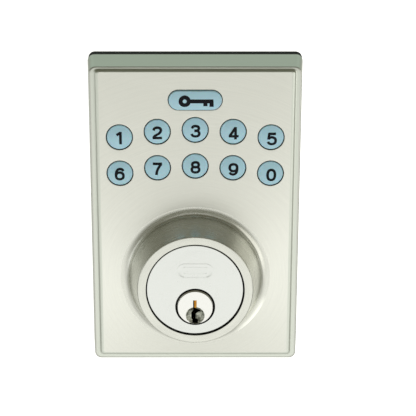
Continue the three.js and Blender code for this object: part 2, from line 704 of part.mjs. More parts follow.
// ---- pin stacks
const springBottom = PLUG_Z + DRIVER_BOTTOM + DRIVER_LENGTH + SPRING_GAP;
const springHeight = TOWER_TOP - SPRING_GAP - springBottom;
pinDepths.forEach((y, i) => {
  const length = KEY_PIN_LENGTHS[i];
  add(`key_pin_${i + 1}`, makePin(length, KEY_PIN_POINT), brass, 0, y, PLUG_Z + KEY_PIN_TOP - length);
  add(`driver_pin_${i + 1}`, makePin(DRIVER_LENGTH, PIN_CHAMFER), brass, 0, y, PLUG_Z + DRIVER_BOTTOM);
  add(`pin_spring_${i + 1}`, makeSpring(springHeight), springSteel, 0, y, springBottom);
});
const coverEnds = [pinDepths[0] - COVER_MARGIN, pinDepths[PIN_COUNT - 1] + COVER_MARGIN];
const coverTop = TOWER_TOP + COVER_THICKNESS;
const coverBody = block(-COVER_HALF_WIDTH, COVER_HALF_WIDTH, ...coverEnds, TOWER_TOP, coverTop);
add("pin_chamber_cover", coverBody, brass);

export default lock;
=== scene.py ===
"""Looks of the outside half of a keypad deadbolt, built round its CAD frame.

Lengths in the tables below are millimetres, in the frame of the CAD model: X to the right, Z up, Y into the
door, and the origin where the axis of the round boss meets the door.
"""
import math

import bmesh
import bpy
from mathutils import Matrix, Vector, geometry


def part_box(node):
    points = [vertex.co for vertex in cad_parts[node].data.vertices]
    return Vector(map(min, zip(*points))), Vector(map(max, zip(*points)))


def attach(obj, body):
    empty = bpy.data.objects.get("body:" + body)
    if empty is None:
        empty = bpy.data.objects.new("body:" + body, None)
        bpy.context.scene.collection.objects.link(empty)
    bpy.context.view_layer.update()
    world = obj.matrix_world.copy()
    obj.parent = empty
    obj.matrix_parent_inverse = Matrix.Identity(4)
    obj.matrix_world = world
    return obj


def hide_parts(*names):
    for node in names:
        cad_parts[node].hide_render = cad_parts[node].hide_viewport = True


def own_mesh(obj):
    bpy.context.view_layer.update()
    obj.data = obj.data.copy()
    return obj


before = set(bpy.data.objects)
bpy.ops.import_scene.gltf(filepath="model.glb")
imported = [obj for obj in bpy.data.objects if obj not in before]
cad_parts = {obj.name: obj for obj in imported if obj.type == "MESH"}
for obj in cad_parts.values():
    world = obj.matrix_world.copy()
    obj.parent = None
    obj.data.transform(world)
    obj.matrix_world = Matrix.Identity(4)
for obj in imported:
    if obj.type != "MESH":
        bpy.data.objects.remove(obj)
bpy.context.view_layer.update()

MM = 0.001

# ---------------------------------------------------------------- sizes shared with the CAD model

BOSS_FRONT = -29.8
PANEL_FRONT = -18.2
RIM_FRONT = -16.65
PANEL_BACK = -16
WALL_BACK = -4.1
PLATE_FRONT = -3.3
PLATE_BACK = -1.8

HALF_WIDTH = 34.05
BOTTOM = -31
TOP = 72.1
SIDE_DRAFT = 1
END_DRAFT = 0.55
CORNER = 2.2
RIM_STEP = 1.1
RIM_FILLET = 0.42
SIDE_SHARE = 1.85  # the rim's width at the sides, top and bottom, as shares of RIM_STEP
TOP_SHARE = 0.8
BOTTOM_SHARE = 1.75
PANEL_EDGE = 0.6
FRONT_EDGE = 0.32
SIDE_WALL = 2.6

BOSS_ROOT_R = 22.3
BOSS_FRONT_R = 18.9
BOSS_BORE_R = 16.15
BOSS_FILLETS = [(4.3, 0, 30), (1.8, 30, 73.7)]  # radius, and the tilts in degrees between which it turns
BOSS_EDGE = 0.35
BOSS_SLOPE = (BOSS_ROOT_R - BOSS_FRONT_R) / (PANEL_FRONT - BOSS_FRONT)

DIGITS = "1234567890"
KEY_HOLE_R = 4.36
KEY_CAP_R = 4.08
KEY_FLANGE_R = 5.2
KEY_FLANGE_FRONT = -15.9
KEY_BACK = -15
KEY_FRONT = -18.75
LOCK_KEY_FRONT = -19.1
LOCK_KEY_Z = 61.5
LOCK_HALF = 5.35
LOCK_HOLE_R = 3.42
LOCK_CAP_R = 3.2
LOCK_FLANGE_R = 4.2

BOARD_FRONT = -11.6
BOARD_BACK = -10
MAT_FRONT = -12.4
DOME_FRONT = -14.95
BOARD_POSTS = [(-18.5, 66), (18.5, 66), (-18, 29.3), (18, 29.3)]
BOARD_POST_R = 2.2
BOARD = (30.6, 26, 57, 21.6, 69.2)  # half width, bottom, shoulder, half width above it, top
MAT = (30.2, 26.5, 56.6, 16, 67.6)

PLUG_Z = -6
FACE_R = 15.75
FACE_FRONT = -29.45
FACE_SHIFT = (-0.08, 0.05)
FACE_BACK = -26.6
BARREL_R = 8.4
BARREL_BACK = 1.5
TOWER_HALF_WIDTH = 3.6
TOWER_TOP = 10.6
EAR_BACK = -13.4
EAR_R = 4
EAR_SCREW_X = 19.2
PLUG_HEAD_R = 6.35
PLUG_HEAD_BACK = -28.1
PLUG_HEAD_FRONT = -28.7
PLUG_NOSE_R = 5.97
PLUG_FRONT = -29.8
PLUG_FACE_R = 5.7
BEVEL_SHIFT = 0.2
PLUG_R = 6
PLUG_BACK = 1.8
CHAMBER_R = 1.6
CHAMBER_FLOOR = -0.3
PIN_COUNT = 5
PIN_R = 1.4
KEYWAY_END = -3.2
DISH_R = 3
DISH_Z = -3
DISH_DEPTH = 1.3
DISH_CURVE = (DISH_R**2 + DISH_DEPTH**2) / (2 * DISH_DEPTH)

BLADE_WIDTH = 6.2
BLADE_HEAD_WIDTH = 7.8
BLADE_THICKNESS = 1.6
BLADE_END = 58
POCKET_FRONT = -1.4
POCKET_R = 4.15
CAP_R = 7.4
CAP_BACK = 3.4
CAP_HOLE_R = 3.4
CAP_SCREW_OFFSET = 4.7 * math.sqrt(0.5)
CAP_SCREWS = [(sign * CAP_SCREW_OFFSET, sign * CAP_SCREW_OFFSET + PLUG_Z) for sign in (1, -1)]

PLATE_POSTS = [(-25.6, 64.2), (25.6, 64.2), (-25.6, -22.2), (25.6, -22.2)]
PLATE_POST_R = 3.4
PLATE_MARGIN = 4.9
BOLT_POST_X = 19.5
BOLT_POST_R = 4
BOLT_POST_BACK = 12
BOLT_BORE_R = 2.1
CABLE_SLOT = (-9, 9, 17, 24)
RIB_R = 1.5

GASKET_INSET = 0.05
GASKET_WIDTH = 4.5
GASKET_FLANGE = 2.2

# ---------------------------------------------------------------- outlines in X and Z


def circle(radius, count=64, x=0.0, z=0.0):
    turns = [2 * math.pi * i / count for i in range(count)]
    return [(x + radius * math.cos(t), z + radius * math.sin(t)) for t in turns]


def arc(radius, start, end, steps, x=0.0, z=0.0):
    """Points on a circle from one angle to another, in degrees."""
    turns = [math.radians(start + (end - start) * i / steps) for i in range(steps + 1)]
    return [(x + radius * math.cos(t), z + radius * math.sin(t)) for t in turns]


def stadium(half, radius, steps=24, x=0.0, z=0.0):
    return arc(radius, -90, 90, steps, x + half, z) + arc(radius, 90, 270, steps, x - half, z)


def rounded(left, right, bottom, top, radius, steps=8):
    return (
        arc(radius, -90, 0, steps, right - radius, bottom + radius)
        + arc(radius, 0, 90, steps, right - radius, top - radius)
        + arc(radius, 90, 180, steps, left + radius, top - radius)
        + arc(radius, 180, 270, steps, left + radius, bottom + radius)
    )


def housing_outline(inset, radius, draft=0.0):
    """The housing's outline moved in by `inset`. Draft is 0 at its front and 1 at the back of its walls."""
    half = HALF_WIDTH + draft * SIDE_DRAFT - inset
    out = draft * END_DRAFT - inset
    return rounded(-half, half, BOTTOM - out, TOP + out, radius)


def softened(corners, radius, steps=6):
    """A polygon whose corners, inward ones too, are rounded."""
    points = []
    for i, corner in enumerate(corners):
        here = Vector(corner)
        before = (Vector(corners[i - 1]) - here).normalized() * radius
        after = (Vector(corners[(i + 1) % len(corners)]) - here).normalized() * radius
        for step in range(steps + 1):
            t = step / steps
            points.append(tuple(here + before * (1 - t) ** 2 + after * t**2))
    return points


def stepped(sizes, inset):
    """A symmetrical outline that narrows above its shoulder, moved in by `inset`, with softened corners."""
    half, low, shoulder, neck, high = sizes
    right = [(half, low), (half, shoulder), (neck, shoulder), (neck, high)]
    moved = [(x - inset, z + (inset if z == low else -inset)) for x, z in right]
    return softened(moved + [(-x, z) for x, z in reversed(moved)], 1)


def from_depth(base, *pairs):
    """(size, depth) pairs whose depths are given from a base."""
    return [(size, base + y) for size, y in pairs]


def round_hole(radius, count, x, z):
    """The outline of a round hole, as a function that takes how much to widen it by."""
    return lambda grow: circle(radius + grow, count, x, z)


def keyhole(grow):
    """The back plate's opening for the cylinder: a circle with a square tab above it."""
    radius = BARREL_R + 0.8 + grow
    half = TOWER_HALF_WIDTH + 0.8 + grow
    top = TOWER_TOP + 1.6 + grow
    lean = math.degrees(math.acos(half / radius))
    tab = arc(1, 0, 90, 6, half - 1, top - 1) + arc(1, 90, 180, 6, 1 - half, top - 1)
    return tab + arc(radius, 180 - lean, 360 + lean, 64, 0, PLUG_Z)


# ---------------------------------------------------------------- meshes


class Shell:
    """A closed mesh made of rings of points, joined by strips of faces and closed by flat sheets."""

    def __init__(self):
        self.bm = bmesh.new()

    def ring(self, outline, y):
        return [self.bm.verts.new((x * MM, y * MM, z * MM)) for x, z in outline]

    def strip(self, first, second, finish=0):
        count = len(first)
        for i in range(count):
            j = (i + 1) % count
            self.bm.faces.new((first[i], first[j], second[j], second[i])).material_index = finish

    def skin(self, outline_at, profile, finish=0, start=None):
        """Joins the rings outline_at(size) at each (size, depth) of the profile. Returns every ring."""
        rings = [start] if start else []
        rings += [self.ring(outline_at(size), y) for size, y in profile]
        for first, second in zip(rings, rings[1:]):
            self.strip(first, second, finish)
        return rings

    def lathe(self, profile, count=64, x=0.0, z=0.0, finish=0, start=None):
        """A skin of circles about a line along Y, from (radius, depth) pairs."""
        return self.skin(lambda r: circle(r, count, x, z), profile, finish, start)

    def close(self, rings):
        self.sheet(rings[0])
        self.sheet(rings[-1])

    def sheet(self, outer, holes=(), finish=0):
        """A flat face inside the outer ring, with the other rings as holes."""
        loops = [outer, *holes]
        points = [v for loop in loops for v in loop]
        faces, start = [], 0
        for loop in loops:
            faces.append(list(range(start, start + len(loop))))
            start += len(loop)
        flat = [Vector((v.co.x, v.co.z)) / MM for v in points]
        made = geometry.delaunay_2d_cdt(flat, [], faces, 0, 1e-6)
        origins, triangles, inside = made[3], made[2], made[5]
        for corners, within in zip(triangles, inside):
            if list(within) == [0]:
                found = [points[origins[c][0]] for c in corners]
                self.bm.faces.new(found).material_index = finish

    def mesh(self, name):
        bmesh.ops.recalc_face_normals(self.bm, faces=self.bm.faces)
        made = bpy.data.meshes.new(name)
        self.bm.to_mesh(made)
        self.bm.free()
        return made


def turned(profile, count=64, x=0.0, z=0.0):
    """A body of revolution about a line along Y, from (radius, depth) pairs from one end to the other."""
    shell = Shell()
    shell.close(shell.lathe(profile, count, x, z))
    return shell


def plate(outline_at, front, back, edge, holes):
    """A flat plate with chamfered edges. Each hole is a function that takes how much to widen it by."""
    shell = Shell()
    profile = [(edge, front), (0, front + edge), (0, back - edge), (edge, back)]
    outside = shell.skin(outline_at, profile)
    insides = [shell.skin(hole, profile) for hole in holes]
    for end in (0, -1):
        shell.sheet(outside[end], [rings[end] for rings in insides])
    return shell


def block(left, right, front, back, bottom, top, edge, steps=2):
    """A box whose edges are rounded, unless `edge` is 0."""
    shell = Shell()
    bmesh.ops.create_cube(shell.bm, size=1)
    size = Vector((right - left, back - front, top - bottom)) * MM
    middle = Vector((left + right, front + back, bottom + top)) * MM / 2
    for v in shell.bm.verts:
        v.co = Vector(a * b for a, b in zip(v.co, size)) + middle
    if edge:
        edges = shell.bm.edges[:]
        bmesh.ops.bevel(shell.bm, geom=edges, offset=edge * MM, segments=steps, profile=0.5, affect="EDGES")
    return shell


def move(shell, matrix):
    bmesh.ops.transform(shell.bm, matrix=matrix, verts=shell.bm.verts)
    return shell


def upright(shell, x=0.0, y=0.0, z=0.0):
    """Turns a shell made along Y to stand along Z, with its depth as its height."""
    place = Matrix.Translation(Vector((x, y, z)) * MM)
    return move(shell, place @ Matrix.Rotation(math.pi / 2, 4, "X"))


def carved(base, joins=(), cuts=()):
    """The base shell with other shells joined to it, and then others cut away."""
    target = bpy.data.objects.new("carving", base.mesh("carving"))
    bpy.context.scene.collection.objects.link(target)
    for operation, tools in (("UNION", joins), ("DIFFERENCE", cuts)):
        for tool in tools:
            other = bpy.data.objects.new("tool", tool.mesh("tool"))
            bpy.context.scene.collection.objects.link(other)
            modifier = target.modifiers.new("cut", "BOOLEAN")
            modifier.operation, modifier.object, modifier.solver = operation, other, "EXACT"
            graph = bpy.context.evaluated_depsgraph_get()
            result = bpy.data.meshes.new_from_object(target.evaluated_get(graph))
            target.modifiers.clear()
            target.data = result
            bpy.data.objects.remove(other)
    shell = Shell()
    shell.bm.from_mesh(target.data)
    bpy.data.objects.remove(target)
    bmesh.ops.remove_doubles(shell.bm, verts=shell.bm.verts, dist=1e-7)
    flat = math.radians(0.3)
    bmesh.ops.dissolve_limit(shell.bm, angle_limit=flat, verts=shell.bm.verts, edges=shell.bm.edges)
    return shell


def piece(name, shell, body, finishes, stands_for=None, sharp=32):
    """A finished piece of the object, riding on a body and standing for a CAD node."""
    mesh = shell.mesh(name)
    for finish in finishes if isinstance(finishes, list) else [finishes]:
        mesh.materials.append(finish)
    mesh.shade_smooth()
    mesh.set_sharp_from_angle(angle=math.radians(sharp))
    made = bpy.data.objects.new(name, mesh)
    bpy.context.scene.collection.objects.link(made)
    weighted = made.modifiers.new("flat faces", "WEIGHTED_NORMAL")
    weighted.keep_sharp = True
    weighted.weight = 80
    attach(made, body)
    if stands_for:
        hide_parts(stands_for)
    return made


# ---------------------------------------------------------------- finishes


def node(tree, kind, inputs=None, **settings):
    """Adds a shader node. An input is given by name or number, as a value or as another node's output."""
    made = tree.nodes.new("ShaderNode" + kind)
    for key, value in settings.items():
        setattr(made, key, value)
    for key, value in (inputs or {}).items():
        if isinstance(value, bpy.types.NodeSocket):
            tree.links.new(value, made.inputs[key])
        else:
            made.inputs[key].default_value = value
    return made


def maths(tree, operation, a, b=0.0):
    return node(tree, "Math", {0: a, 1: b}, operation=operation).outputs[0]


def times(tree, first, *others):
    for other in others:
        first = maths(tree, "MULTIPLY", first, other)
    return first


def remap(tree, value, low, high, out_low, out_high, kind="LINEAR"):
    """Maps a value from one range to another, held at the ends."""
    limits = {"Value": value, "From Min": low, "From Max": high, "To Min": out_low, "To Max": out_high}
    return node(tree, "MapRange", limits, interpolation_type=kind).outputs["Result"]


def ease(tree, value, low, high, out_low=0.0, out_high=1.0):
    return remap(tree, value, low, high, out_low, out_high, "SMOOTHSTEP")


def noise(tree, vector, scale, detail=2.0, roughness=0.5):
    inputs = {"Vector": vector, "Scale": scale, "Detail": detail, "Roughness": roughness}
    return node(tree, "TexNoise", inputs).outputs["Fac"]


def blend_colours(tree, factor, first, second):
    made = node(tree, "Mix", {"Factor": factor}, data_type="RGBA")
    for socket, colour in ((made.inputs[6], first), (made.inputs[7], second)):
        if isinstance(colour, bpy.types.NodeSocket):
            tree.links.new(colour, socket)
        else:
            socket.default_value = (*colour, 1)
    return made.outputs[2]


NOISE_ENDS = (0.3, 0.7)  # noise values stay near 0.5, so these count as its ends
CLOUD_ENDS = (0.35, 0.65)


class Finish:
    """A material on its way: the tree, the shader and the position of a point in the frame, in metres."""

    def __init__(self, name, **shader):
        self.material = bpy.data.materials.new(name)
        self.material.use_nodes = True
        self.tree = self.material.node_tree
        self.shader = self.tree.nodes["Principled BSDF"]
        for key, value in shader.items():
            self.shader.inputs[key.replace("_", " ").title().replace("Ior", "IOR")].default_value = value
        self.place = node(self.tree, "TexCoord").outputs["Object"]

    def feed(self, socket, value):
        self.tree.links.new(value, self.shader.inputs[socket])

    def noise(self, scale, detail=2.0, roughness=0.5):
        return noise(self.tree, self.place, scale, detail, roughness)

    def lines(self, scales, detail, roughness):
        """Noise drawn out along the axis that has the smallest scale."""
        vector = node(self.tree, "Mapping", {"Vector": self.place, "Scale": scales}).outputs[0]
        return noise(self.tree, vector, 1.0, detail, roughness)

    def tint(self, value, colour, darker, lighter, ends=CLOUD_ENDS):
        """A colour that wanders with a value between two shares of itself."""
        factor = remap(self.tree, value, *ends, 0, 1)
        shades = [tuple(c * share for c in colour) for share in (darker, lighter)]
        mixed = blend_colours(self.tree, factor, *shades)
        self.feed("Base Color", mixed)
        return mixed

    def wear(self, value, roughness, low=-0.04, high=0.05):
        """Roughness that wanders with a value round its own figure."""
        self.feed("Roughness", remap(self.tree, value, *NOISE_ENDS, roughness + low, roughness + high))

    def bump(self, height, distance):
        normal = node(self.tree, "Bump", {"Height": height, "Distance": distance, "Strength": 1.0})
        self.feed("Normal", normal.outputs[0])


def brushed_round(name, colour, roughness, centre_z, contrast, scratch, anisotropy, painted_highlight=0.0):
    """Metal brushed in circles about a line along Y through (0, centre_z), with an optional painted highlight
    on the boss's wall.
    """
    finish = Finish(name, metallic=1.0, roughness=roughness, anisotropic=anisotropy)
    tree = finish.tree
    offset = node(tree, "VectorMath", {0: finish.place, 1: (0, 0, centre_z * MM)}, operation="SUBTRACT")
    flat = node(tree, "VectorMath", {0: offset.outputs[0], 1: (1, 0, 1)}, operation="MULTIPLY").outputs[0]
    radius = node(tree, "VectorMath", {0: flat}, operation="LENGTH").outputs["Value"]
    way = node(tree, "VectorMath", {0: flat}, operation="NORMALIZE").outputs[0]
    parts = node(tree, "SeparateXYZ", {0: way})
    depth = node(tree, "SeparateXYZ", {0: finish.place}).outputs["Y"]
    across = maths(tree, "ADD", radius, times(tree, depth, 0.7))
    streaks = []
    for pitch, wander, share in ((900, 1.6, 0.55), (3600, 4.0, 0.45)):
        along = [times(tree, parts.outputs[axis], wander) for axis in "XZ"]
        spot = node(tree, "CombineXYZ", {0: along[0], 1: times(tree, across, pitch), 2: along[1]}).outputs[0]
        streaks.append(times(tree, noise(tree, spot, 1.0, 3.0, 0.6), share))
    both = maths(tree, "ADD", *streaks)
    plain = finish.tint(both, colour, 1 - contrast, 1 + contrast, NOISE_ENDS)
    # Painted highlight: the colour is made lighter, by up to the given share, on the part of the boss's wall
    # that faces one way round the axis.
    if painted_highlight:
        towards = node(tree, "VectorMath", {0: way, 1: PAINTED_HIGHLIGHT_WAY}, operation="DOT_PRODUCT").outputs["Value"]
        on_wall = remap(tree, depth, (BOSS_FRONT + 0.3) * MM, (BOSS_FRONT + 0.6) * MM, 0, 1)
        painted_highlight_share = times(tree, ease(tree, towards, 0.93, 1, 0, painted_highlight), on_wall)
        lighter = {0: plain, "Scale": maths(tree, "ADD", painted_highlight_share, 1.0)}
        finish.feed("Base Color", node(tree, "VectorMath", lighter, operation="SCALE").outputs[0])
    finish.wear(both, roughness)
    finish.bump(both, scratch)
    finish.feed("Tangent", way)
    return finish.material


def brushed_straight(name, colour, roughness, scales):
    """Metal brushed along the axis that has the smallest scale."""
    finish = Finish(name, metallic=1.0, roughness=roughness)
    lines = finish.lines(scales, 3.0, 0.6)
    finish.tint(lines, colour, 0.95, 1.05, NOISE_ENDS)
    finish.wear(lines, roughness)
    finish.bump(lines, 0.000003)
    return finish.material


def cast(name, colour, roughness, patches=160, contrast=0.1):
    """Metal as it leaves the mould or the plating bath, with a fine grain and cloudy patches."""
    finish = Finish(name, metallic=1.0, roughness=roughness)
    grain = finish.noise(4200, 2.0, 0.6)
    finish.tint(finish.noise(patches, 3.0), colour, 1 - contrast, 1 + contrast)
    finish.wear(grain, roughness, -0.05, 0.07)
    finish.bump(grain, 0.000012)
    return finish.material


def lathed(name, colour, roughness, pitch, upward=False):
    """Turned metal with fine tool lines across its axis, which lies along Y, or along Z if it stands up."""
    finish = Finish(name, metallic=1.0, roughness=roughness)
    tarnish = finish.noise(500, 3.0)
    finish.tint(tarnish, colour, 0.86, 1.05)
    finish.wear(tarnish, roughness, 0.06, -0.04)
    finish.bump(finish.lines((120, 120, pitch) if upward else (120, pitch, 120), 2.0, 0.5), 0.000004)
    return finish.material


def moulded(name, colour, roughness, grain_scale, grain_height, mottle=0.05, **shader):
    """Plastic, rubber or silicone with a fine moulded grain."""
    finish = Finish(name, roughness=roughness, **shader)
    grain = finish.noise(grain_scale, 2.0, 0.55)
    finish.tint(finish.noise(260, 3.0), colour, 1 - mottle, 1 + mottle)
    finish.wear(grain, roughness)
    finish.bump(grain, grain_height)
    return finish.material


def board_finish():
    """Green solder mask over copper tracks and pads."""
    finish = Finish("board_green", roughness=0.35, specular_ior_level=0.6)
    tree = finish.tree
    upright = node(tree, "Mapping", {"Vector": finish.place, "Rotation": (math.pi / 2, 0, 0)}).outputs[0]
    grid = {"Vector": upright, "Scale": 420.0, "Mortar Size": 0.06, "Mortar Smooth": 0.2}
    grid.update({"Row Height": 0.35, "Brick Width": 2.4})
    cells = node(tree, "TexBrick", grid).outputs["Fac"]
    mask = times(tree, cells, remap(tree, finish.noise(90), 0.45, 0.55, 0, 1))
    finish.feed("Base Color", blend_colours(tree, mask, (0.012, 0.075, 0.03), (0.035, 0.17, 0.06)))
    finish.wear(finish.noise(900), 0.3, 0, 0.12)
    finish.bump(mask, 0.00002)
    return finish.material


PAINTED_HIGHLIGHT_WAY = (0.8, 0, -0.6)  # towards the side of the boss's wall that carries a painted highlight
NICKEL = (0.80, 0.805, 0.752)
# The boss's nickel is darker than the panel's although both are one plated casting: a painted shade.
SHADED_BOSS_NICKEL = (0.66, 0.665, 0.617)
FACE_NICKEL = (0.695, 0.71, 0.695)
PLUG_NICKEL = (0.765, 0.765, 0.745)

# Colour, roughness, height of the centre of the brushing, contrast, depth of the scratches, anisotropy.
nickel_round = brushed_round("satin_nickel_round", NICKEL, 0.36, 0, 0.06, 0.000004, 0.7)
# The boss's finish carries a painted highlight low on the right of its wall.
nickel_boss = brushed_round("satin_nickel_boss_painted_light", SHADED_BOSS_NICKEL, 0.26, 0, 0.12, 0.000008, 0.25, painted_highlight=0.4)
nickel_face = brushed_round("face_nickel", FACE_NICKEL, 0.24, 0, 0.012, 0.0000012, 0.2)
nickel_plug = brushed_round("plug_nickel", PLUG_NICKEL, 0.16, PLUG_Z, 0.02, 0.000001, 0.2)
nickel_side = brushed_straight("satin_nickel_side", (0.66, 0.69, 0.63), 0.34, (60, 3000, 60))
# A darker copy of the housing's nickel for the rim's rounded front edge: painted shade.
nickel_edge_painted_shade = brushed_straight("satin_nickel_edge_painted_shade", (0.55, 0.56, 0.52), 0.3, (60, 60, 60))
raw_zinc = cast("raw_zinc", (0.30, 0.30, 0.29), 0.55)
# Near-black painted shade for the walls of bores, key holes, gaps and the keyway's depths.
painted_gap_shade = cast("painted_shade_in_gaps", (0.035, 0.035, 0.032), 0.6)
keyway_brass = moulded("keyway_brass", (0.85, 0.52, 0.11), 0.4, 4000, 0.000002, mottle=0.2, metallic=0.3)
zinc_steel = cast("zinc_steel", (0.50, 0.52, 0.53), 0.38)
screw_steel = lathed("screw_steel", (0.56, 0.57, 0.57), 0.3, 2500)
spring_steel = lathed("spring_steel", (0.45, 0.46, 0.47), 0.3, 900, upward=True)
brass = lathed("brass", (0.62, 0.40, 0.12), 0.25, 3500, upward=True)
brass_strip = cast("brass_strip", (0.60, 0.40, 0.13), 0.3)
rubber = moulded("gasket_rubber", (0.012, 0.012, 0.018), 0.7, 3500, 0.00002)
silicone = moulded(
    "silicone", (0.62, 0.66, 0.66), 0.5, 2500, 0.000006, subsurface_weight=0.25, subsurface_scale=0.001
)
key_blue = moulded(
    "key_blue", (0.5, 0.79, 0.95), 0.38, 5200, 0.000003, 0.015, subsurface_weight=0.1, subsurface_scale=0.0006
)
key_ink = moulded("key_ink", (0.006, 0.007, 0.012), 0.6, 6000, 0.000003, specular_ior_level=0.15)
black_plastic = moulded("black_plastic", (0.015, 0.016, 0.018), 0.45, 3000, 0.00001)
white_nylon = moulded(
    "white_nylon", (0.72, 0.68, 0.58), 0.5, 2600, 0.00001, subsurface_weight=0.1, subsurface_scale=0.0005
)
dish_steel = cast("dish_metal", (0.37, 0.38, 0.33), 0.36, 1300, 0.55)
tinned = cast("tinned_metal", (0.68, 0.68, 0.66), 0.28)
board_green = board_finish()

# ---------------------------------------------------------------- housing


def middle(name):
    """The middle of a CAD node's box in X and Z, in millimetres."""
    low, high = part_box(name)
    return (low.x + high.x) / 2 / MM, (low.z + high.z) / 2 / MM


KEYS = {digit: middle(f"button_{digit}") for digit in DIGITS}
PIN_YS = [sum(v.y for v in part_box(f"key_pin_{i + 1}")) / 2 / MM for i in range(PIN_COUNT)]
EAR_SCREWS = [(-EAR_SCREW_X, 0), (EAR_SCREW_X, 0)]


def rounding(size, depth, radius, steps):
    """(size, depth) pairs round a quarter turn, from a side wall onto a front face at `depth`."""
    turns = [math.pi / 2 * i / steps for i in range(steps + 1)]
    return [(size + radius * (1 - math.cos(t)), depth + radius * (1 - math.sin(t))) for t in turns]


BRUSHED, SIDE, RAW, PAINTED_SHADE, BOSS, EDGE = range(6)  # the order of the housing's finishes
KEY_HOLES = [round_hole(KEY_HOLE_R, 64, *at) for at in KEYS.values()]
KEY_HOLES.append(lambda grow: stadium(LOCK_HALF, LOCK_HOLE_R + grow, 24, 0, LOCK_KEY_Z))


def front_outline(inset):
    """The housing's outline at its front, where the rim's width isn't the same on all sides."""
    half = HALF_WIDTH - SIDE_SHARE * inset
    return rounded(-half, half, BOTTOM + BOTTOM_SHARE * inset, TOP - TOP_SHARE * inset, CORNER - inset)


def boss_profile():
    """(radius, depth) pairs of the hollow root, flared side, rounded edge and mouth of the bore."""
    fillet = [(0, 0)]
    for radius, start, end in BOSS_FILLETS:
        from_r, from_depth = fillet[-1]
        first = math.radians(start)
        for step in range(1, 9):
            tilt = math.radians(start + (end - start) * step / 8)
            away = radius * (math.sin(tilt) - math.sin(first))
            fillet.append((from_r + away, from_depth + radius * (math.cos(first) - math.cos(tilt))))
    root = BOSS_ROOT_R + fillet[-1][0] - BOSS_SLOPE * fillet[-1][1]
    return [(root - away, PANEL_FRONT - rise) for away, rise in fillet] + [
        (BOSS_FRONT_R + BOSS_SLOPE * BOSS_EDGE, BOSS_FRONT + BOSS_EDGE),
        (BOSS_FRONT_R - BOSS_EDGE * 0.25, BOSS_FRONT + BOSS_EDGE * 0.3),
        (BOSS_FRONT_R - BOSS_EDGE, BOSS_FRONT),
        (BOSS_BORE_R + 0.18, BOSS_FRONT),
        (BOSS_BORE_R + 0.05, BOSS_FRONT + 0.05),
        (BOSS_BORE_R, BOSS_FRONT + 0.18),
    ]


def make_housing():
    shell = Shell()

    # Inner and outer walls, the rounded front edge, the rim, and the step up to the panel.
    walls = [(SIDE_WALL, PANEL_BACK), (SIDE_WALL, WALL_BACK)]
    inner = shell.skin(lambda inset: housing_outline(inset, 1), walls, RAW)
    rear = [(0.15, WALL_BACK), (0, WALL_BACK - 0.15)]
    wall = shell.skin(lambda inset: housing_outline(inset, CORNER, 1), rear, RAW)
    shell.strip(inner[-1], wall[0], RAW)
    turns = [math.pi / 12 * i for i in range(7)]
    flat = RIM_STEP - RIM_FILLET
    hollow = [(flat + RIM_FILLET * math.sin(t), RIM_FRONT - RIM_FILLET * (1 - math.cos(t))) for t in turns]
    # The rounded front edge takes the darker nickel, which is painted shade.
    for profile, finish in (
        ([(0, RIM_FRONT + FRONT_EDGE)], SIDE),
        (rounding(0, RIM_FRONT, FRONT_EDGE, 6)[1:], EDGE),
        (hollow, SIDE),
        (rounding(RIM_STEP, PANEL_FRONT, PANEL_EDGE, 8), SIDE),
    ):
        wall = shell.skin(front_outline, profile, finish, start=wall[-1])

    boss = shell.lathe(boss_profile(), 192, finish=BOSS)
    # The bore's wall is painted shade.
    bore = shell.lathe([(BOSS_BORE_R, PANEL_BACK)], 192, finish=PAINTED_SHADE, start=boss[-1])

    # Key holes, each with a small rounded mouth.
    fronts, backs = [boss[0]], [bore[-1]]
    mouth = from_depth(PANEL_FRONT, (0.16, 0), (0.05, 0.05), (0, 0.16))
    # Behind its mouth each hole's wall is painted shade.
    for hole in KEY_HOLES:
        rings = shell.skin(hole, mouth, BRUSHED)
        fronts.append(rings[0])
        backs.append(shell.skin(hole, [(0, PANEL_BACK)], PAINTED_SHADE, start=rings[-1])[-1])
    shell.sheet(wall[-1], fronts, BRUSHED)

    # Screw posts behind the panel, with their blind bores, and the blind bores for the cylinder's screws.
    posts = [(at, PLATE_POST_R, PLATE_FRONT, 1.3, 9) for at in PLATE_POSTS]
    posts += [(at, BOARD_POST_R, BOARD_FRONT, 0.85, 3.8) for at in BOARD_POSTS]
    studs = []
    for at, radius, end, bore_r, deep in posts:
        profile = from_depth(PANEL_BACK, (radius + 0.4, 0), (radius, 0.4))
        profile += from_depth(end, (radius, -0.2), (radius - 0.2, 0), (bore_r + 0.25, 0), (bore_r, -0.25))
        profile += [(bore_r, end - deep), (0.2, end - deep - 0.4)]
        studs.append((at, profile, 32))
    blind = from_depth(PANEL_BACK, (1.55, 0), (1.3, -0.25), (1.3, -5), (0.2, -5.4))
    for at, profile, count in studs + [(at, blind, 24) for at in EAR_SCREWS]:
        rings = shell.lathe(profile, count, *at, finish=RAW)
        shell.sheet(rings[-1], finish=RAW)
        backs.append(rings[0])
    shell.sheet(inner[0], backs, RAW)
    finishes = [nickel_round, nickel_side, raw_zinc, painted_gap_shade, nickel_boss, nickel_edge_painted_shade]
    piece("housing_casting", shell, "lock_body", finishes, "housing")


make_housing()

# ---------------------------------------------------------------- keys


def crown(radius, front):
    """Depth of a key's crowned front at a distance from its middle."""
    return front + 0.038 * radius**2


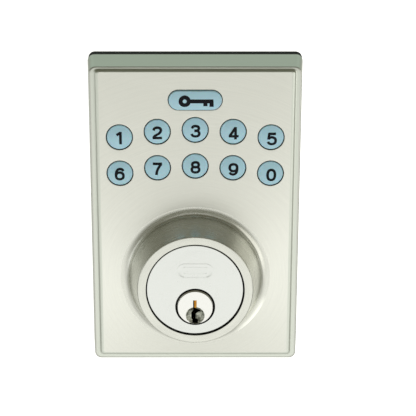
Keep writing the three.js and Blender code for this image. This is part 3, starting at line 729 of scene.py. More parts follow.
def key_profile(cap_r, flange_r, front):
    """(radius, depth) pairs of a key from the middle of its back to the middle of its front."""
    soft = 0.42  # radius of the edge of the cap
    top = cap_r - soft
    shoulder = crown(top, front)
    turns = [math.pi / 2 * i / 5 for i in range(6)]
    profile = from_depth(KEY_BACK, (0.3, 0), (flange_r - 0.1, 0), (flange_r, -0.1))
    profile += from_depth(KEY_FLANGE_FRONT, (flange_r, 0.1), (flange_r - 0.1, 0), (cap_r, 0))
    profile += [(top + soft * math.cos(t), shoulder + soft * (1 - math.sin(t)) * 0.9) for t in turns]
    return profile + [(top * share, crown(top * share, front)) for share in (0.85, 0.7, 0.55, 0.4, 0.25, 0.1)]


def curve(*points, step=0.22):
    """A smooth open stroke through the points, with a point every `step` or less."""
    last = len(points) - 1
    made = []
    for i in range(last):
        a, b, c, d = (Vector(points[min(max(i + k, 0), last)]) for k in (-1, 0, 1, 2))
        steps = max(1, math.ceil((c - b).length / step))
        for t in (s / steps for s in range(steps)):
            bend = (2 * a - 5 * b + 4 * c - d) * t**2 + (3 * b - a - 3 * c + d) * t**3
            made.append((2 * b + (c - a) * t + bend) / 2)
    return False, made + [Vector(points[-1])]


def line(*points):
    """Straight strokes from point to point, split finely."""
    made = []
    for a, b in zip(points, points[1:]):
        a, b = Vector(a), Vector(b)
        steps = max(1, math.ceil((b - a).length / 0.25))
        made += [a.lerp(b, s / steps) for s in range(steps)]
    return False, made + [Vector(points[-1])]


def loop(x, z, rx, rz, square=2.3):
    """A closed stroke round an ellipse that is a little squared off."""
    made = []
    for i in range(40):
        c, s = math.cos(math.pi * i / 20), math.sin(math.pi * i / 20)
        bulge = (abs(c) ** square + abs(s) ** square) ** (-1 / square)
        made.append(Vector((x + rx * c * bulge, z + rz * s * bulge)))
    return True, made


SIX = [
    loop(0, -0.56, 1.13, 1.11),
    curve((1.07, 0.98), (0.78, 1.5), (0.1, 1.67), (-0.72, 1.32), (-1.1, 0.35), (-1.13, -0.56)),
]
WAIST = (-0.35, 0.16)  # where the two bowls of the 3 meet
STROKES = {
    "0": [loop(0, 0, 1.13, 1.67)],
    "1": [line((0.42, -2), (0.42, 2)), line((-0.78, 0.98), (0.5, 1.76))],
    "2": [
        curve(
            *((-1.13, 0.78), (-0.82, 1.42), (0, 1.67), (0.86, 1.42), (1.1, 0.78)),
            *((0.72, 0), (-0.1, -0.58), (-0.9, -1.15), (-1.12, -1.8)),
        ),
        line((-1.44, -1.67), (1.44, -1.67)),
    ],
    "3": [
        curve((-1.08, 0.92), (-0.75, 1.48), (0, 1.67), (0.78, 1.46), (1.02, 0.9), (0.68, 0.34), WAIST),
        curve(WAIST, (0.74, 0.02), (1.14, -0.74), (0.86, -1.42), (0, -1.67), (-0.84, -1.44), (-1.17, -0.82)),
    ],
    "4": [line((0.56, -2), (0.56, 2)), line((0.5, 1.78), (-1.2, -0.86)), line((-1.5, -0.95), (1.5, -0.95))],
    "5": [
        line((1.24, 1.67), (-0.98, 1.67)),
        line((-0.76, 1.9), (-1.02, -0.12)),
        curve(
            *((-0.98, 0.1), (-0.5, 0.5), (0.12, 0.58), (0.9, 0.24), (1.16, -0.52)),
            *((0.86, -1.36), (0, -1.67), (-0.82, -1.44), (-1.17, -0.86)),
        ),
    ],
    "6": SIX,
    "7": [line((-1.45, 1.67), (1.4, 1.67)), curve((1.17, 1.6), (0.42, 0.6), (-0.16, -0.7), (-0.38, -2))],
    "8": [loop(0, 0.86, 0.98, 0.81), loop(0, -0.76, 1.14, 0.91)],
    "9": [(closed, [-p for p in points]) for closed, points in SIX],
}
KEY_SIGN = [
    loop(-3.65, 0.15, 1.3, 1.3, 2.0),
    line((-2.3, 0.15), (5.5, 0.15)),
    line((4.95, 0.2), (4.95, -1.7)),
    line((2.95, 0.2), (2.95, -1.5)),
]
DIGIT_SCALE = 1.06
DIGIT_STROKE = 0.85  # width of the printed line
SIGN_STROKE = 1.3


def ribbons(strokes, width):
    """Four-cornered pieces that cover the strokes."""
    quads = []
    for closed, points in strokes:
        count = len(points)
        sides = []
        for i, here in enumerate(points):
            before = points[i - 1] if closed or i else here
            after = points[(i + 1) % count] if closed or i < count - 1 else here
            way = (after - before).normalized()
            across = Vector((-way.y, way.x)) * width / 2
            sides.append((here + across, here - across))
        pairs = list(zip(sides, sides[1:] + sides[:1] if closed else sides[1:]))
        quads += [(a[1], b[1], b[0], a[0]) for a, b in pairs]
    return quads


def printed(name, strokes, width, at, body, depth_at):
    """Strokes printed on a key: a thin layer that follows the key's crowned front."""
    quads = ribbons(strokes, width)
    points = [p for quad in quads for p in quad]
    faces = [list(range(4 * i, 4 * i + 4)) for i in range(len(quads))]
    made = geometry.delaunay_2d_cdt(points, [], faces, 0, 1e-4)
    where, triangles, inside = made[0], made[2], made[5]
    kept = [corners for corners, within in zip(triangles, inside) if within]
    shell = Shell()
    used = sorted({c for corners in kept for c in corners})
    layers = []
    for lift in (0.03, -0.03):
        row = {}
        for c in used:
            x, z = where[c].x, where[c].y
            row[c] = shell.bm.verts.new(((x + at[0]) * MM, (depth_at(x, z) - lift) * MM, (z + at[1]) * MM))
        layers.append(row)
    top, bottom = layers
    seen = {}
    for a, b, c in kept:
        shell.bm.faces.new((top[a], top[b], top[c]))
        shell.bm.faces.new((bottom[c], bottom[b], bottom[a]))
        for edge in ((a, b), (b, c), (c, a)):
            key = tuple(sorted(edge))
            seen[key] = None if key in seen else edge
    for edge in filter(None, seen.values()):
        a, b = edge
        shell.bm.faces.new((top[b], top[a], bottom[a], bottom[b]))
    return piece(name, shell, body, key_ink)


def crowned(front, aside, down):
    """Depth of a round key's front at a point of its print, which is moved aside and down from the middle."""
    return lambda u, v: crown(math.hypot(u + aside, v + down), front)


def make_keys():
    for digit, (x, z) in KEYS.items():
        body = f"button_{digit}"
        cap = turned(key_profile(KEY_CAP_R, KEY_FLANGE_R, KEY_FRONT), 64, x, z)
        piece(f"key_cap_{digit}", cap, body, key_blue, body)
        strokes = [(closed, [p * DIGIT_SCALE for p in points]) for closed, points in STROKES[digit]]
        # Each digit is printed a little off its key's middle.
        aside, down = 0.1 + 0.0065 * x, -0.3 - 0.006 * x
        depth_at = crowned(KEY_FRONT, aside, down)
        printed(f"key_digit_{digit}", strokes, DIGIT_STROKE, (x + aside, z + down), body, depth_at)
    shell = Shell()
    profile = key_profile(LOCK_CAP_R, LOCK_FLANGE_R, LOCK_KEY_FRONT)
    shell.close(shell.skin(lambda r: stadium(LOCK_HALF, r, 24, 0, LOCK_KEY_Z), profile))
    piece("lock_key_cap", shell, "lock_button", key_blue, "lock_button")
    aside, down = 0.3, -0.3

    def depth_at(u, v):
        return crown(abs(v + down), LOCK_KEY_FRONT)

    sign_at = (aside, LOCK_KEY_Z + down)
    printed("lock_key_sign", KEY_SIGN, SIGN_STROKE, sign_at, "lock_button", depth_at)


make_keys()

# ---------------------------------------------------------------- gasket, back plate and fasteners


def make_gasket():
    """A frame with a soft lip against the door, and the flange that the back plate clamps."""
    shell = Shell()

    def outline_at(width):
        inset = GASKET_INSET + width
        return housing_outline(inset, max(CORNER - inset / 2, 1.2), 1)

    flange = GASKET_WIDTH + GASKET_FLANGE
    foot = from_depth(WALL_BACK, (flange, 0), (0.2, 0), (0, 0.2))
    outside = [(0, -1.6), (0.25, -1.35), (0, -1.1), (0, -0.5), (0.15, -0.15), (0.5, 0)]
    lips = [(1.3, 0), (1.6, -0.5), (2.4, -0.5), (2.7, 0), (GASKET_WIDTH - 0.3, 0), (GASKET_WIDTH, -0.3)]
    inside = [(GASKET_WIDTH, PLATE_FRONT), (flange, PLATE_FRONT)]
    rings = shell.skin(outline_at, foot + outside + lips + inside)
    shell.strip(rings[-1], rings[0])
    reach = [(PLATE_POST_R + 0.3, WALL_BACK - 1), (PLATE_POST_R + 0.3, PLATE_FRONT + 0.4)]
    notches = [turned(reach, 32, *at) for at in PLATE_POSTS]
    piece("door_gasket", carved(shell, cuts=notches), "lock_body", rubber, "gasket")


def rib_outline(x, low, high):
    """A stadium that stands along Z, as a function that takes how much to widen it by."""
    half = (high - low) / 2 - RIB_R
    return lambda grow: [(x - v, (low + high) / 2 + u) for u, v in stadium(half, RIB_R + grow, 12)]


def make_back_plate():
    left, right, bottom, top = CABLE_SLOT
    holes = [keyhole, lambda grow: rounded(left - grow, right + grow, bottom - grow, top + grow, 1.5 + grow)]
    holes += [round_hole(1.7, 32, *at) for at in PLATE_POSTS]
    holes += [round_hole(3.02, 32, x, 0) for x in (-BOLT_POST_X, BOLT_POST_X)]

    def outline_at(inset):
        return housing_outline(PLATE_MARGIN + inset, 2)

    shell = plate(outline_at, PLATE_FRONT, PLATE_BACK, 0.18, holes)
    # Stiffening ribs pressed towards the door.
    swell = from_depth(PLATE_BACK, (0, -0.4), (0, 0), (-0.25, 0.4), (-0.7, 0.6))
    for x in (-14.5, 14.5):
        for low, high in ((-24, -9), (28, 60)):
            rib = Shell()
            rib.close(rib.skin(rib_outline(x, low, high), swell))
            shell = carved(shell, joins=[rib])
    piece("back_plate_pressing", shell, "lock_body", zinc_steel, "back_plate")


def add_thread(shell, last, radius, start, end, pitch, depth, count=24, x=0.0, y=0.0, taper=0.0):
    """Carries a shell on from its last ring with a helical thread towards -Y from (x, y), and closes it.

    The last `taper` of the thread narrows to a blunt point.
    """
    steps = max(2, round((end - start) / pitch * 8))
    for i in range(steps + 1):
        along = start + (end - start) * i / steps
        rest = (end - along) / taper if taper else 1
        outline = []
        for turn in (k / count for k in range(count)):
            wave = abs(((along / pitch - turn) % 1) * 2 - 1)
            r = (radius - depth * wave) * min(1, 0.25 + 0.75 * max(rest, 0))
            outline.append((x + r * math.cos(turn * 2 * math.pi), r * math.sin(turn * 2 * math.pi)))
        ring = shell.ring(outline, y - along)
        shell.strip(last, ring)
        last = ring
    shell.sheet(last)


def screw(head_r, head_height, shank_r, length, pitch):
    """Pan-head screw with a cross recess, along +Y: its head bears on y = 0 and its shank runs to -length."""
    shell = Shell()
    tilts = (0.08, 0.35, 0.6, 0.85, 1.1, 1.35)
    head = [(head_r * math.sin(t), head_height * (0.55 + 0.45 * math.cos(t))) for t in tilts]
    head += [(head_r, head_height * 0.45), (head_r, 0.08 * head_height), (head_r * 0.96, 0), (shank_r, 0)]
    rings = shell.lathe(head, 24)
    shell.sheet(rings[0])
    add_thread(shell, rings[-1], shank_r, 0.3, length, pitch, shank_r * 0.22, taper=shank_r)
    half, thin = head_r * 0.58, head_r * 0.12
    wings = []
    for turn in (0, 90):
        wing = block(-half, half, head_height * 0.35, head_height + 1, -thin, thin, 0)
        for v in wing.bm.verts:
            if v.co.y < head_height * MM:
                v.co.x *= 0.6
        wings.append(move(wing, Matrix.Rotation(math.radians(turn), 4, "Y")))
    return carved(shell, cuts=wings)


def make_screws():
    """Sizes are head radius and height, shank radius and length, and pitch."""
    sets = [
        ("back_plate_screw", PLATE_POSTS, PLATE_BACK, (2.8, 1.6, 1.2, 8, 0.8), "lock_body"),
        ("board_screw", BOARD_POSTS, BOARD_BACK, (1.9, 1, 0.75, 5, 0.5), "lock_body"),
        ("cylinder_screw", EAR_SCREWS, EAR_BACK, (2.8, 1.6, 1.2, 7, 0.8), "lock_body"),
        ("plug_cap_screw", CAP_SCREWS, CAP_BACK, (1.3, 0.8, 0.6, 4, 0.4), "plug"),
    ]
    for name, places, y, sizes, body in sets:
        for i, (x, z) in enumerate(places):
            turn = Matrix.Rotation(math.radians(23 + 61 * i), 4, "Y")
            made = move(screw(*sizes), Matrix.Translation(Vector((x, y, z)) * MM) @ turn)
            piece(f"{name}_detail_{i + 1}", made, body, screw_steel, f"{name}_{i + 1}")


def make_bolt_posts():
    outside = from_depth(PLATE_FRONT, (0.4, -0.8), (3.4, -0.8), (3.75, -0.45), (3.85, 0), (3, 0))
    outside += from_depth(PLATE_BACK, (3, 0), (BOLT_POST_R - 0.1, 0), (BOLT_POST_R, 0.1))
    outside += from_depth(BOLT_POST_BACK, (BOLT_POST_R, -0.5), (BOLT_POST_R - 0.5, 0), (BOLT_BORE_R + 0.4, 0))
    deep = BOLT_POST_BACK - PLATE_BACK
    for side, x in (("left", -BOLT_POST_X), ("right", BOLT_POST_X)):
        shell = Shell()
        rings = shell.lathe(outside, 32, x)
        shell.sheet(rings[0])
        add_thread(shell, rings[-1], BOLT_BORE_R + 0.35, 0.4, deep, 0.8, 0.35, 32, x, BOLT_POST_BACK)
        piece(f"bolt_post_{side}_detail", shell, "lock_body", screw_steel, f"bolt_post_{side}")


make_gasket()
make_back_plate()
make_screws()
make_bolt_posts()

# ---------------------------------------------------------------- mat, board and what is on it


def make_mat():
    holes = [round_hole(BOARD_POST_R + 0.3, 24, *at) for at in BOARD_POSTS]
    shell = plate(lambda inset: stepped(MAT, inset), MAT_FRONT, BOARD_FRONT, 0.12, holes)
    piece("mat_sheet", shell, "lock_body", silicone, "keypad_mat")
    spots = [(digit, KEYS[digit], f"button_{digit}_press") for digit in DIGITS]
    ends = enumerate((-LOCK_HALF, LOCK_HALF), 1)
    spots += [(f"lock_{i}", (x, LOCK_KEY_Z), "lock_button_press") for i, x in ends]
    profile = from_depth(MAT_FRONT, (0.2, 0), (3.4, 0), (3.35, -0.2), (3.15, -0.45), (2.75, -1.2))
    profile += from_depth(DOME_FRONT, (2.45, 0.9), (2.2, 0.65), (2.15, 0.15), (2.0, 0), (0.2, 0))
    for name, (x, z), joint in spots:
        dome = piece(f"mat_dome_{name}", turned(profile, 32, x, z), "lock_body", silicone)
        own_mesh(dome)


def make_board():
    holes = [round_hole(1.1, 24, *at) for at in BOARD_POSTS]
    shell = plate(lambda inset: stepped(BOARD, inset), BOARD_FRONT, BOARD_BACK, 0.06, holes)
    piece("board_sheet", shell, "lock_body", board_green, "circuit_board")

    # Controller: a moulded body with a dimple for its first pin, and gull-wing leads on two sides.
    chip = block(5.9, 14.1, BOARD_BACK + 0.15, BOARD_BACK + 1.4, 44, 54, 0.2)
    chip = carved(chip, cuts=[turned(from_depth(BOARD_BACK, (0.5, 1.25), (0.5, 2)), 24, 7.1, 52.8)])
    piece("chip_moulding", chip, "lock_body", black_plastic, "controller_chip")
    leads = Shell()
    path = [(4.1, 0.62), (4.55, 0.62), (4.75, 0.1), (5.0, 0.02)]
    path += [(5.0, 0.16), (4.83, 0.24), (4.62, 0.76), (4.1, 0.76)]
    for side in (-1, 1):
        for i in range(8):
            low = (44.82 + i * 8 / 7) * MM
            spots = [((10 + side * u) * MM, (BOARD_BACK + v) * MM) for u, v in path]
            near = [leads.bm.verts.new((*spot, low)) for spot in spots]
            far = [leads.bm.verts.new((*spot, low + 0.36 * MM)) for spot in spots]
            leads.strip(near, far)
            leads.bm.faces.new(near)
            leads.bm.faces.new(far[::-1])
    piece("chip_leads", leads, "lock_body", tinned)

    case = from_depth(BOARD_BACK, (0.2, 0), (4.4, 0), (4.5, 0.1), (4.5, 2.7), (4.35, 2.92), (4.2, 3))
    case += from_depth(BOARD_BACK, (1.1, 3), (0.9, 2.9), (0.9, 1.4), (0.1, 1.4))
    piece("sounder_case", turned(case, 48, -14, 48), "lock_body", black_plastic, "sounder")

    back = BOARD_BACK + 5.4
    hollow = block(-5.3, 5.3, BOARD_BACK + 1, back + 1, 29.2, 32.8, 0)
    keys = [block(x - 0.6, x + 0.6, BOARD_BACK + 2, back + 1, 32, 34, 0) for x in (-3, 3)]
    shroud = carved(block(-6, 6, BOARD_BACK, back, 28.5, 33.5, 0.2), cuts=[hollow, *keys])
    piece("header_shroud", shroud, "lock_body", white_nylon, "cable_header")
    pins = Shell()
    for i in range(5):
        pin = block(i * 2 - 4.3, i * 2 - 3.7, BOARD_BACK + 0.9, back - 1, 30.7, 31.3, 0.1, 1)
        pins.bm.from_mesh(pin.mesh("pin"))
    piece("header_pins", pins, "lock_body", tinned)


make_mat()
make_board()

# ---------------------------------------------------------------- key cylinder


def make_cylinder():
    rim = from_depth(FACE_FRONT, (FACE_R, 0.25), (FACE_R - 0.08, 0.08), (FACE_R - 0.25, 0), (0.5, 0))
    disc = turned([(0.5, FACE_BACK), (FACE_R, FACE_BACK)] + rim, 192, *FACE_SHIFT)
    profile = [(BARREL_R, FACE_BACK - 0.5), (BARREL_R, BARREL_BACK - 0.3), (BARREL_R - 0.3, BARREL_BACK)]
    barrel = turned(profile, 96, 0, PLUG_Z)
    tower = block(-TOWER_HALF_WIDTH, TOWER_HALF_WIDTH, FACE_BACK - 0.5, BARREL_BACK, PLUG_Z, TOWER_TOP, 0.3)
    ears = Shell()
    profile = [(EAR_R, PANEL_BACK), (EAR_R, EAR_BACK - 0.2), (EAR_R - 0.2, EAR_BACK)]
    ears.close(ears.skin(lambda r: stadium(EAR_SCREW_X, r, 24), profile))
    bore_r, recess_r = PLUG_R + 0.15, PLUG_HEAD_R + 0.15
    recess = from_depth(FACE_FRONT, (recess_r + 0.25, -0.2), (recess_r, 0.05))
    recess.append((recess_r, PLUG_HEAD_BACK + 0.1))
    tools = [
        turned([(bore_r, FACE_FRONT - 1), (bore_r, BARREL_BACK + 1)], 96, 0, PLUG_Z),
        turned(recess, 96, 0, PLUG_Z),
    ]
    tools += [upright(turned([(CHAMBER_R, 0), (CHAMBER_R, 20)], 32), 0, y, PLUG_Z) for y in PIN_YS]
    tools += [turned([(1.7, PANEL_BACK - 1), (1.7, EAR_BACK + 1)], 32, x, z) for x, z in EAR_SCREWS]
    shell = carved(disc, [barrel, tower, ears], tools)
    # Faces at the back are bare zinc; walls deep in the bore and round the plug get near-black painted shade.
    for face in shell.bm.faces:
        depths = [v.co.y / MM for v in face.verts]
        from_plug = max(math.hypot(v.co.x / MM, v.co.z / MM - PLUG_Z) for v in face.verts)
        if min(depths) > FACE_BACK - 0.6:
            face.material_index = 2
        elif max(depths) > FACE_FRONT + 0.3 or from_plug < PLUG_HEAD_R + 0.5:
            face.material_index = 1
    finishes = [nickel_face, painted_gap_shade, raw_zinc]
    piece("cylinder_casting", shell, "lock_body", finishes, "cylinder_body")

    # Blank lozenge above the plug: two fine raised lines, one inside the other.
    shell = Shell()
    line_top, floor = -0.028, -0.004
    outer = from_depth(FACE_FRONT, (2.5, 0.1), (2.5, 0), (2.42, line_top), (2.34, line_top), (2.26, floor))
    rings = shell.skin(lambda r: stadium(3.45, r, 24, 0, 6.9), outer)
    sunk = from_depth(FACE_FRONT, (0, floor), (0.07, line_top), (0.13, line_top), (0.2, floor))
    inner = shell.skin(lambda inset: rounded(inset - 4, 4 - inset, 5.65 + inset, 8.15 - inset, 0.7, 6), sunk)
    shell.sheet(rings[0])
    shell.sheet(rings[-1], [inner[0]])
    shell.sheet(inner[-1])
    piece("face_lozenge", shell, "lock_body", nickel_face)


def keyway_shell():
    """The keyway as a solid to cut away: a slot with stepped sides, which close in behind its mouth."""
    steps = [  # left side, right side, height above the plug's axis
        (-0.68, 0.5, 2.5),
        (-0.68, 0.5, -0.45),
        (-0.75, 1.5, -1.05),
        (-0.8, 2.0, -1.7),
        (-1.2, 1.0, -2.1),
        (-1.3, 0.25, -2.8),
        (-1.25, 0.1, -4.4),
        (-0.95, 0.9, -4.65),
        (-0.95, 0.95, -5.8),
    ]
    narrow = [(left, -0.3 if z > -0.7 else right, z) for left, right, z in steps]
    shell = Shell()
    rings = []
    mouth = from_depth(PLUG_FRONT, (steps, -1), (steps, 0.05), (narrow, 0.9))
    for sides, y in mouth + [(narrow, KEYWAY_END)]:
        outline = [(left, z + PLUG_Z) for left, right, z in sides]
        outline += [(right, z + PLUG_Z) for left, right, z in reversed(sides)]
        rings.append(shell.ring(outline, y))
    for first, second in zip(rings, rings[1:]):
        shell.strip(first, second)
    shell.close(rings)
    return shell


def pocket_shell():
    """The plug's rear pocket as a solid to cut away. It lets the tailpiece turn a quarter by itself."""
    stop = BLADE_THICKNESS / 2 + 0.15
    reach, end = POCKET_R + 1, PLUG_BACK + 1
    quarters = carved(
        block(-reach, stop, POCKET_FRONT, end, PLUG_Z - stop, PLUG_Z + reach, 0),
        joins=[block(-stop, reach, POCKET_FRONT, end, PLUG_Z - reach, PLUG_Z + stop, 0)],
    )
    ring = Shell()
    front, back = POCKET_FRONT - 1, end + 1
    rings = ring.lathe([(POCKET_R, front), (9, front), (9, back), (POCKET_R, back)], 64, 0, PLUG_Z)
    ring.strip(rings[-1], rings[0])
    return carved(quarters, cuts=[ring])


def make_plug():
    dish = from_depth(PLUG_FRONT, (DISH_R + 0.1, -0.5), (DISH_R + 0.1, 0), (DISH_R, 0.08))
    for share in (0.97, 0.9, 0.8, 0.68, 0.54, 0.38, 0.2):
        sunk = math.sqrt(DISH_CURVE**2 - (DISH_R * share) ** 2) - DISH_CURVE + DISH_DEPTH
        dish.append((DISH_R * share, PLUG_FRONT + sunk))
    tools = [turned(dish, 64, 0, PLUG_Z + DISH_Z), keyway_shell(), pocket_shell()]
    tools += [upright(turned([(CHAMBER_R, CHAMBER_FLOOR), (CHAMBER_R, 8)], 32), 0, y, PLUG_Z) for y in PIN_YS]
    screw_hole = from_depth(PLUG_BACK, (0.65, -3), (0.65, 1))
    tools += [turned(screw_hole, 16, *at) for at in CAP_SCREWS]

    # The bevel at the plug's front is wider at the top than at the bottom.
    profile = from_depth(PLUG_BACK, (0.5, 0), (PLUG_R - 0.2, 0), (PLUG_R, -0.2))
    profile += [(PLUG_R, PLUG_HEAD_BACK), (PLUG_HEAD_R, PLUG_HEAD_BACK), (PLUG_HEAD_R, PLUG_HEAD_FRONT)]
    profile += [(PLUG_NOSE_R, PLUG_HEAD_FRONT)]
    profile += from_depth(PLUG_FRONT, (PLUG_NOSE_R, 0.42), (PLUG_NOSE_R - 0.04, 0.34))
    bare = Shell()
    rings = bare.lathe(profile, 96, 0, PLUG_Z)
    front = [(PLUG_FACE_R, PLUG_FRONT), (0.5, PLUG_FRONT)]
    bevel = bare.lathe(front, 96, 0, PLUG_Z - BEVEL_SHIFT, start=rings[-1])
    bare.close([rings[0], bevel[-1]])
    shell = carved(bare, cuts=tools)
    # The side of the plug's nose and the steep walls in the dish get near-black painted shade.
    for face in shell.bm.faces:
        spot = face.calc_center_median() / MM
        across = max(math.hypot(v.co.x / MM, v.co.z / MM - PLUG_Z) for v in face.verts)
        if across > PLUG_NOSE_R - 0.02 and PLUG_FRONT + 0.36 < spot.y < PLUG_HEAD_BACK:
            face.material_index = 3
        elif spot.y > PLUG_FRONT + 0.02 and across < PLUG_NOSE_R - 0.5:
            in_dish = math.hypot(spot.x, spot.z - PLUG_Z - DISH_Z) < DISH_R + 0.05
            faces_front = abs(face.normal.y) > 0.3 and spot.y < PLUG_FRONT + DISH_DEPTH + 0.05
            face.material_index = (1 if faces_front else 3) if in_dish else 2
    finishes = [nickel_plug, dish_steel, keyway_brass, painted_gap_shade]
    piece("plug_turning", shell, "plug", finishes, "key_plug")

    holes = [round_hole(CAP_HOLE_R, 64, 0, PLUG_Z)] + [round_hole(0.95, 24, *at) for at in CAP_SCREWS]
    cap = plate(lambda inset: circle(CAP_R - inset, 96, 0, PLUG_Z), PLUG_BACK, CAP_BACK, 0.12, holes)
    piece("plug_cap_disc", cap, "plug", zinc_steel, "plug_cap")


def make_tailpiece():
    """A flat blade with grooves where it is snapped to length, and a wider head that the plug holds."""
    half = BLADE_THICKNESS / 2
    front, back = POCKET_FRONT + 0.2, PLUG_BACK - 0.2
    head = block(-half, half, front, back, PLUG_Z - BLADE_HEAD_WIDTH / 2, PLUG_Z + BLADE_HEAD_WIDTH / 2, 0.12)
    blade = block(-half, half, 0, BLADE_END, PLUG_Z - BLADE_WIDTH / 2, PLUG_Z + BLADE_WIDTH / 2, 0.25, 3)
    grooves = [
        block(side - 0.2, side + 0.2, y - 0.25, y + 0.25, PLUG_Z - 4, PLUG_Z + 4, 0)
        for y in (24, 32, 40, 48)
        for side in (-half, half)
    ]
    tail = carved(head, [blade], grooves)
    piece("tailpiece_blade", tail, "tailpiece", zinc_steel, "tailpiece")


def make_pins():
    for i, y in enumerate(PIN_YS):
        for name, point in ((f"key_pin_{i + 1}", 0.7), (f"driver_pin_{i + 1}", 0.25)):
            low, high = (v.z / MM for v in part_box(name))
            profile = [(0.15, 0), (PIN_R - point, 0), (PIN_R - point * 0.3, point * 0.5), (PIN_R, point)]
            end = high - low
            profile += from_depth(end, (PIN_R, -0.25), (PIN_R - 0.08, -0.08), (PIN_R - 0.25, 0), (0.15, 0))
            shell = upright(turned(profile, 32), 0, y, low)
            piece(f"{name}_turning", shell, name, brass, name)
        name = f"pin_spring_{i + 1}"
        low, high = (v.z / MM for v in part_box(name))
        shell = coil(y, low, high)
        spring = piece(f"{name}_coil", shell, "lock_body", spring_steel, name, sharp=60)
        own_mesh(spring)
    low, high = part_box("pin_chamber_cover")
    strip = block(low.x / MM, high.x / MM, low.y / MM, high.y / MM, low.z / MM, high.z / MM, 0.12)
    piece("chamber_cover_strip", strip, "lock_body", brass_strip, "pin_chamber_cover")


def coil(y, low, high, radius=1.15, wire=0.15, turns=6.5, sides=8):
    """A wire spring along Z whose end turns lie flat."""
    shell = Shell()
    steps = round(turns * 20)
    last = first = None
    for i in range(steps + 1):
        t = i / steps
        angle = 2 * math.pi * turns * t
        eased = min(max((t * turns - 0.8) / (turns - 1.6), 0), 1)
        flat = 2 * wire * (min(t * turns, 0.8) / 0.8 + max(t * turns - turns + 0.8, 0) / 0.8)
        z = low + wire + flat + eased * (high - low - 6 * wire)
        outward = Vector((math.cos(angle), math.sin(angle), 0))
        centre = Vector((0, y, z)) + outward * radius
        ring = []
        for k in range(sides):
            turn = 2 * math.pi * k / sides
            spot = centre + outward * wire * math.cos(turn) + Vector((0, 0, wire * math.sin(turn)))
            ring.append(shell.bm.verts.new(spot * MM))
        if last:
            shell.strip(last, ring)
        else:
            first = ring
        last = ring
    shell.bm.faces.new(first[::-1])
    shell.bm.faces.new(last)
    return shell


make_cylinder()
make_plug()
make_tailpiece()
make_pins()

# ---------------------------------------------------------------- camera, lights and floor


FLOOR_REACH = 9
FLOOR_HEIGHT = -0.35


def make_camera(scene):
    camera = bpy.data.objects.new("camera", bpy.data.cameras.new("camera"))
    scene.collection.objects.link(camera)
    scene.camera = camera
    camera.data.lens = 143.94
    camera.data.sensor_width = 36
    camera.data.shift_x = 0.0308
    camera.data.shift_y = 0.0013
    camera.location = (0, -0.52605, 0.22327)
    camera.rotation_euler = (math.radians(68.602), 0, 0)
    camera.data.clip_start = 0.01


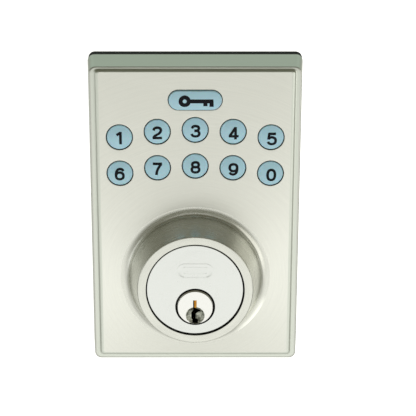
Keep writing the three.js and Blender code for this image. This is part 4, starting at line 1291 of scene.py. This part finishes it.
def make_floor(scene):
    """A pale floor with a painted shadow under the lock; it also glows less out at the sides and far in
    front.
    """
    mesh = bpy.data.meshes.new("floor")
    low, high = -FLOOR_REACH, FLOOR_REACH
    corners = [(low, low), (high, low), (high, high), (low, high)]
    mesh.from_pydata([(*corner, FLOOR_HEIGHT) for corner in corners], [], [(0, 1, 2, 3)])
    floor = bpy.data.objects.new("floor", mesh)
    scene.collection.objects.link(floor)
    pale = Finish("pale_floor", roughness=0.7)
    pale.shader.inputs["Base Color"].default_value = (0.8, 0.8, 0.8, 1)
    pale.shader.inputs["Emission Color"].default_value = (1, 1, 0.985, 1)
    tree = pale.tree
    place = node(tree, "SeparateXYZ", {0: pale.place})
    x, y = place.outputs["X"], place.outputs["Y"]
    aside = maths(tree, "ABSOLUTE", x)
    # Painted shadow: the floor's glow is dimmed under the lock and beside it.
    painted_shadow_reach = ease(tree, maths(tree, "ABSOLUTE", y), 0.2, 0.5, 1, 0)
    painted_shadow_depth = times(tree, painted_shadow_reach, ease(tree, aside, 0.3, 0.8, 0.5, 0.8))
    ahead = times(tree, ease(tree, y, -2.4, -1.1, 0.55, 1), ease(tree, aside, 0.3, 0.75, 1, 0.7))
    front_glow = times(tree, ahead, maths(tree, "SUBTRACT", 1.0, painted_shadow_depth))
    # Behind the lock the floor is dimmer far out at each side, and brighter to the right.
    far = times(tree, remap(tree, x, -0.15, 0.15, 1, 1.35), ease(tree, aside, 0.3, 0.6, 1, 0.5))
    change = times(tree, ease(tree, y, 0.1, 0.5), maths(tree, "SUBTRACT", far, 1.0))
    pale.feed("Emission Strength", times(tree, front_glow, maths(tree, "ADD", change, 1.0)))
    mesh.materials.append(pale.material)


def softbox(scene, name, place, size, power, colour):
    """A soft light that faces the middle of the lock."""
    lamp = bpy.data.lights.new(name, "AREA")
    lamp.shape, lamp.size, lamp.size_y, lamp.energy, lamp.color = "RECTANGLE", *size, power, colour
    made = bpy.data.objects.new(name, lamp)
    scene.collection.objects.link(made)
    made.location = place
    made.rotation_euler = (Vector((0, 0, 0.02)) - Vector(place)).to_track_quat("-Z", "Y").to_euler()


def make_world(scene):
    """A dim room, paler behind the lock, dark overhead, with a bright strip high in front."""
    world = bpy.data.worlds.new("studio")
    scene.world = world
    world.use_nodes = True
    tree = world.node_tree
    way = node(tree, "SeparateXYZ", {0: node(tree, "TexCoord").outputs["Generated"]})
    x, y, z = (way.outputs[axis] for axis in "XYZ")
    aside = maths(tree, "ABSOLUTE", x)
    behind = times(tree, ease(tree, y, -0.35, 0.5), ease(tree, aside, 0.3, 0.65, 1, 0))
    height = times(tree, ease(tree, z, 0.5, 0.58), ease(tree, z, 0.63, 0.71, 1, 0))
    strip = times(tree, height, ease(tree, y, -0.5, -0.3, 1, 0), ease(tree, aside, 0.3, 0.6, 1, 0))
    walls = blend_colours(tree, behind, (0.25, 0.25, 0.20), (0.57, 0.67, 0.58))
    room = blend_colours(tree, ease(tree, z, 0.4, 0.7), walls, (0.14, 0.135, 0.095))
    lit = blend_colours(tree, strip, room, (0.8, 0.8, 0.75))
    tree.links.new(lit, tree.nodes["Background"].inputs["Color"])


def make_stage():
    scene = bpy.context.scene
    scene.view_settings.view_transform = "Standard"
    make_camera(scene)
    make_floor(scene)
    softbox(scene, "right_softbox", (1.05, -0.92, 0.10), (0.9, 0.85), 2.3, (1, 0.985, 0.93))
    softbox(scene, "left_softbox", (-1.35, -0.55, 0.05), (0.7, 0.7), 0.9, (0.97, 0.99, 1))
    make_world(scene)


make_stage()
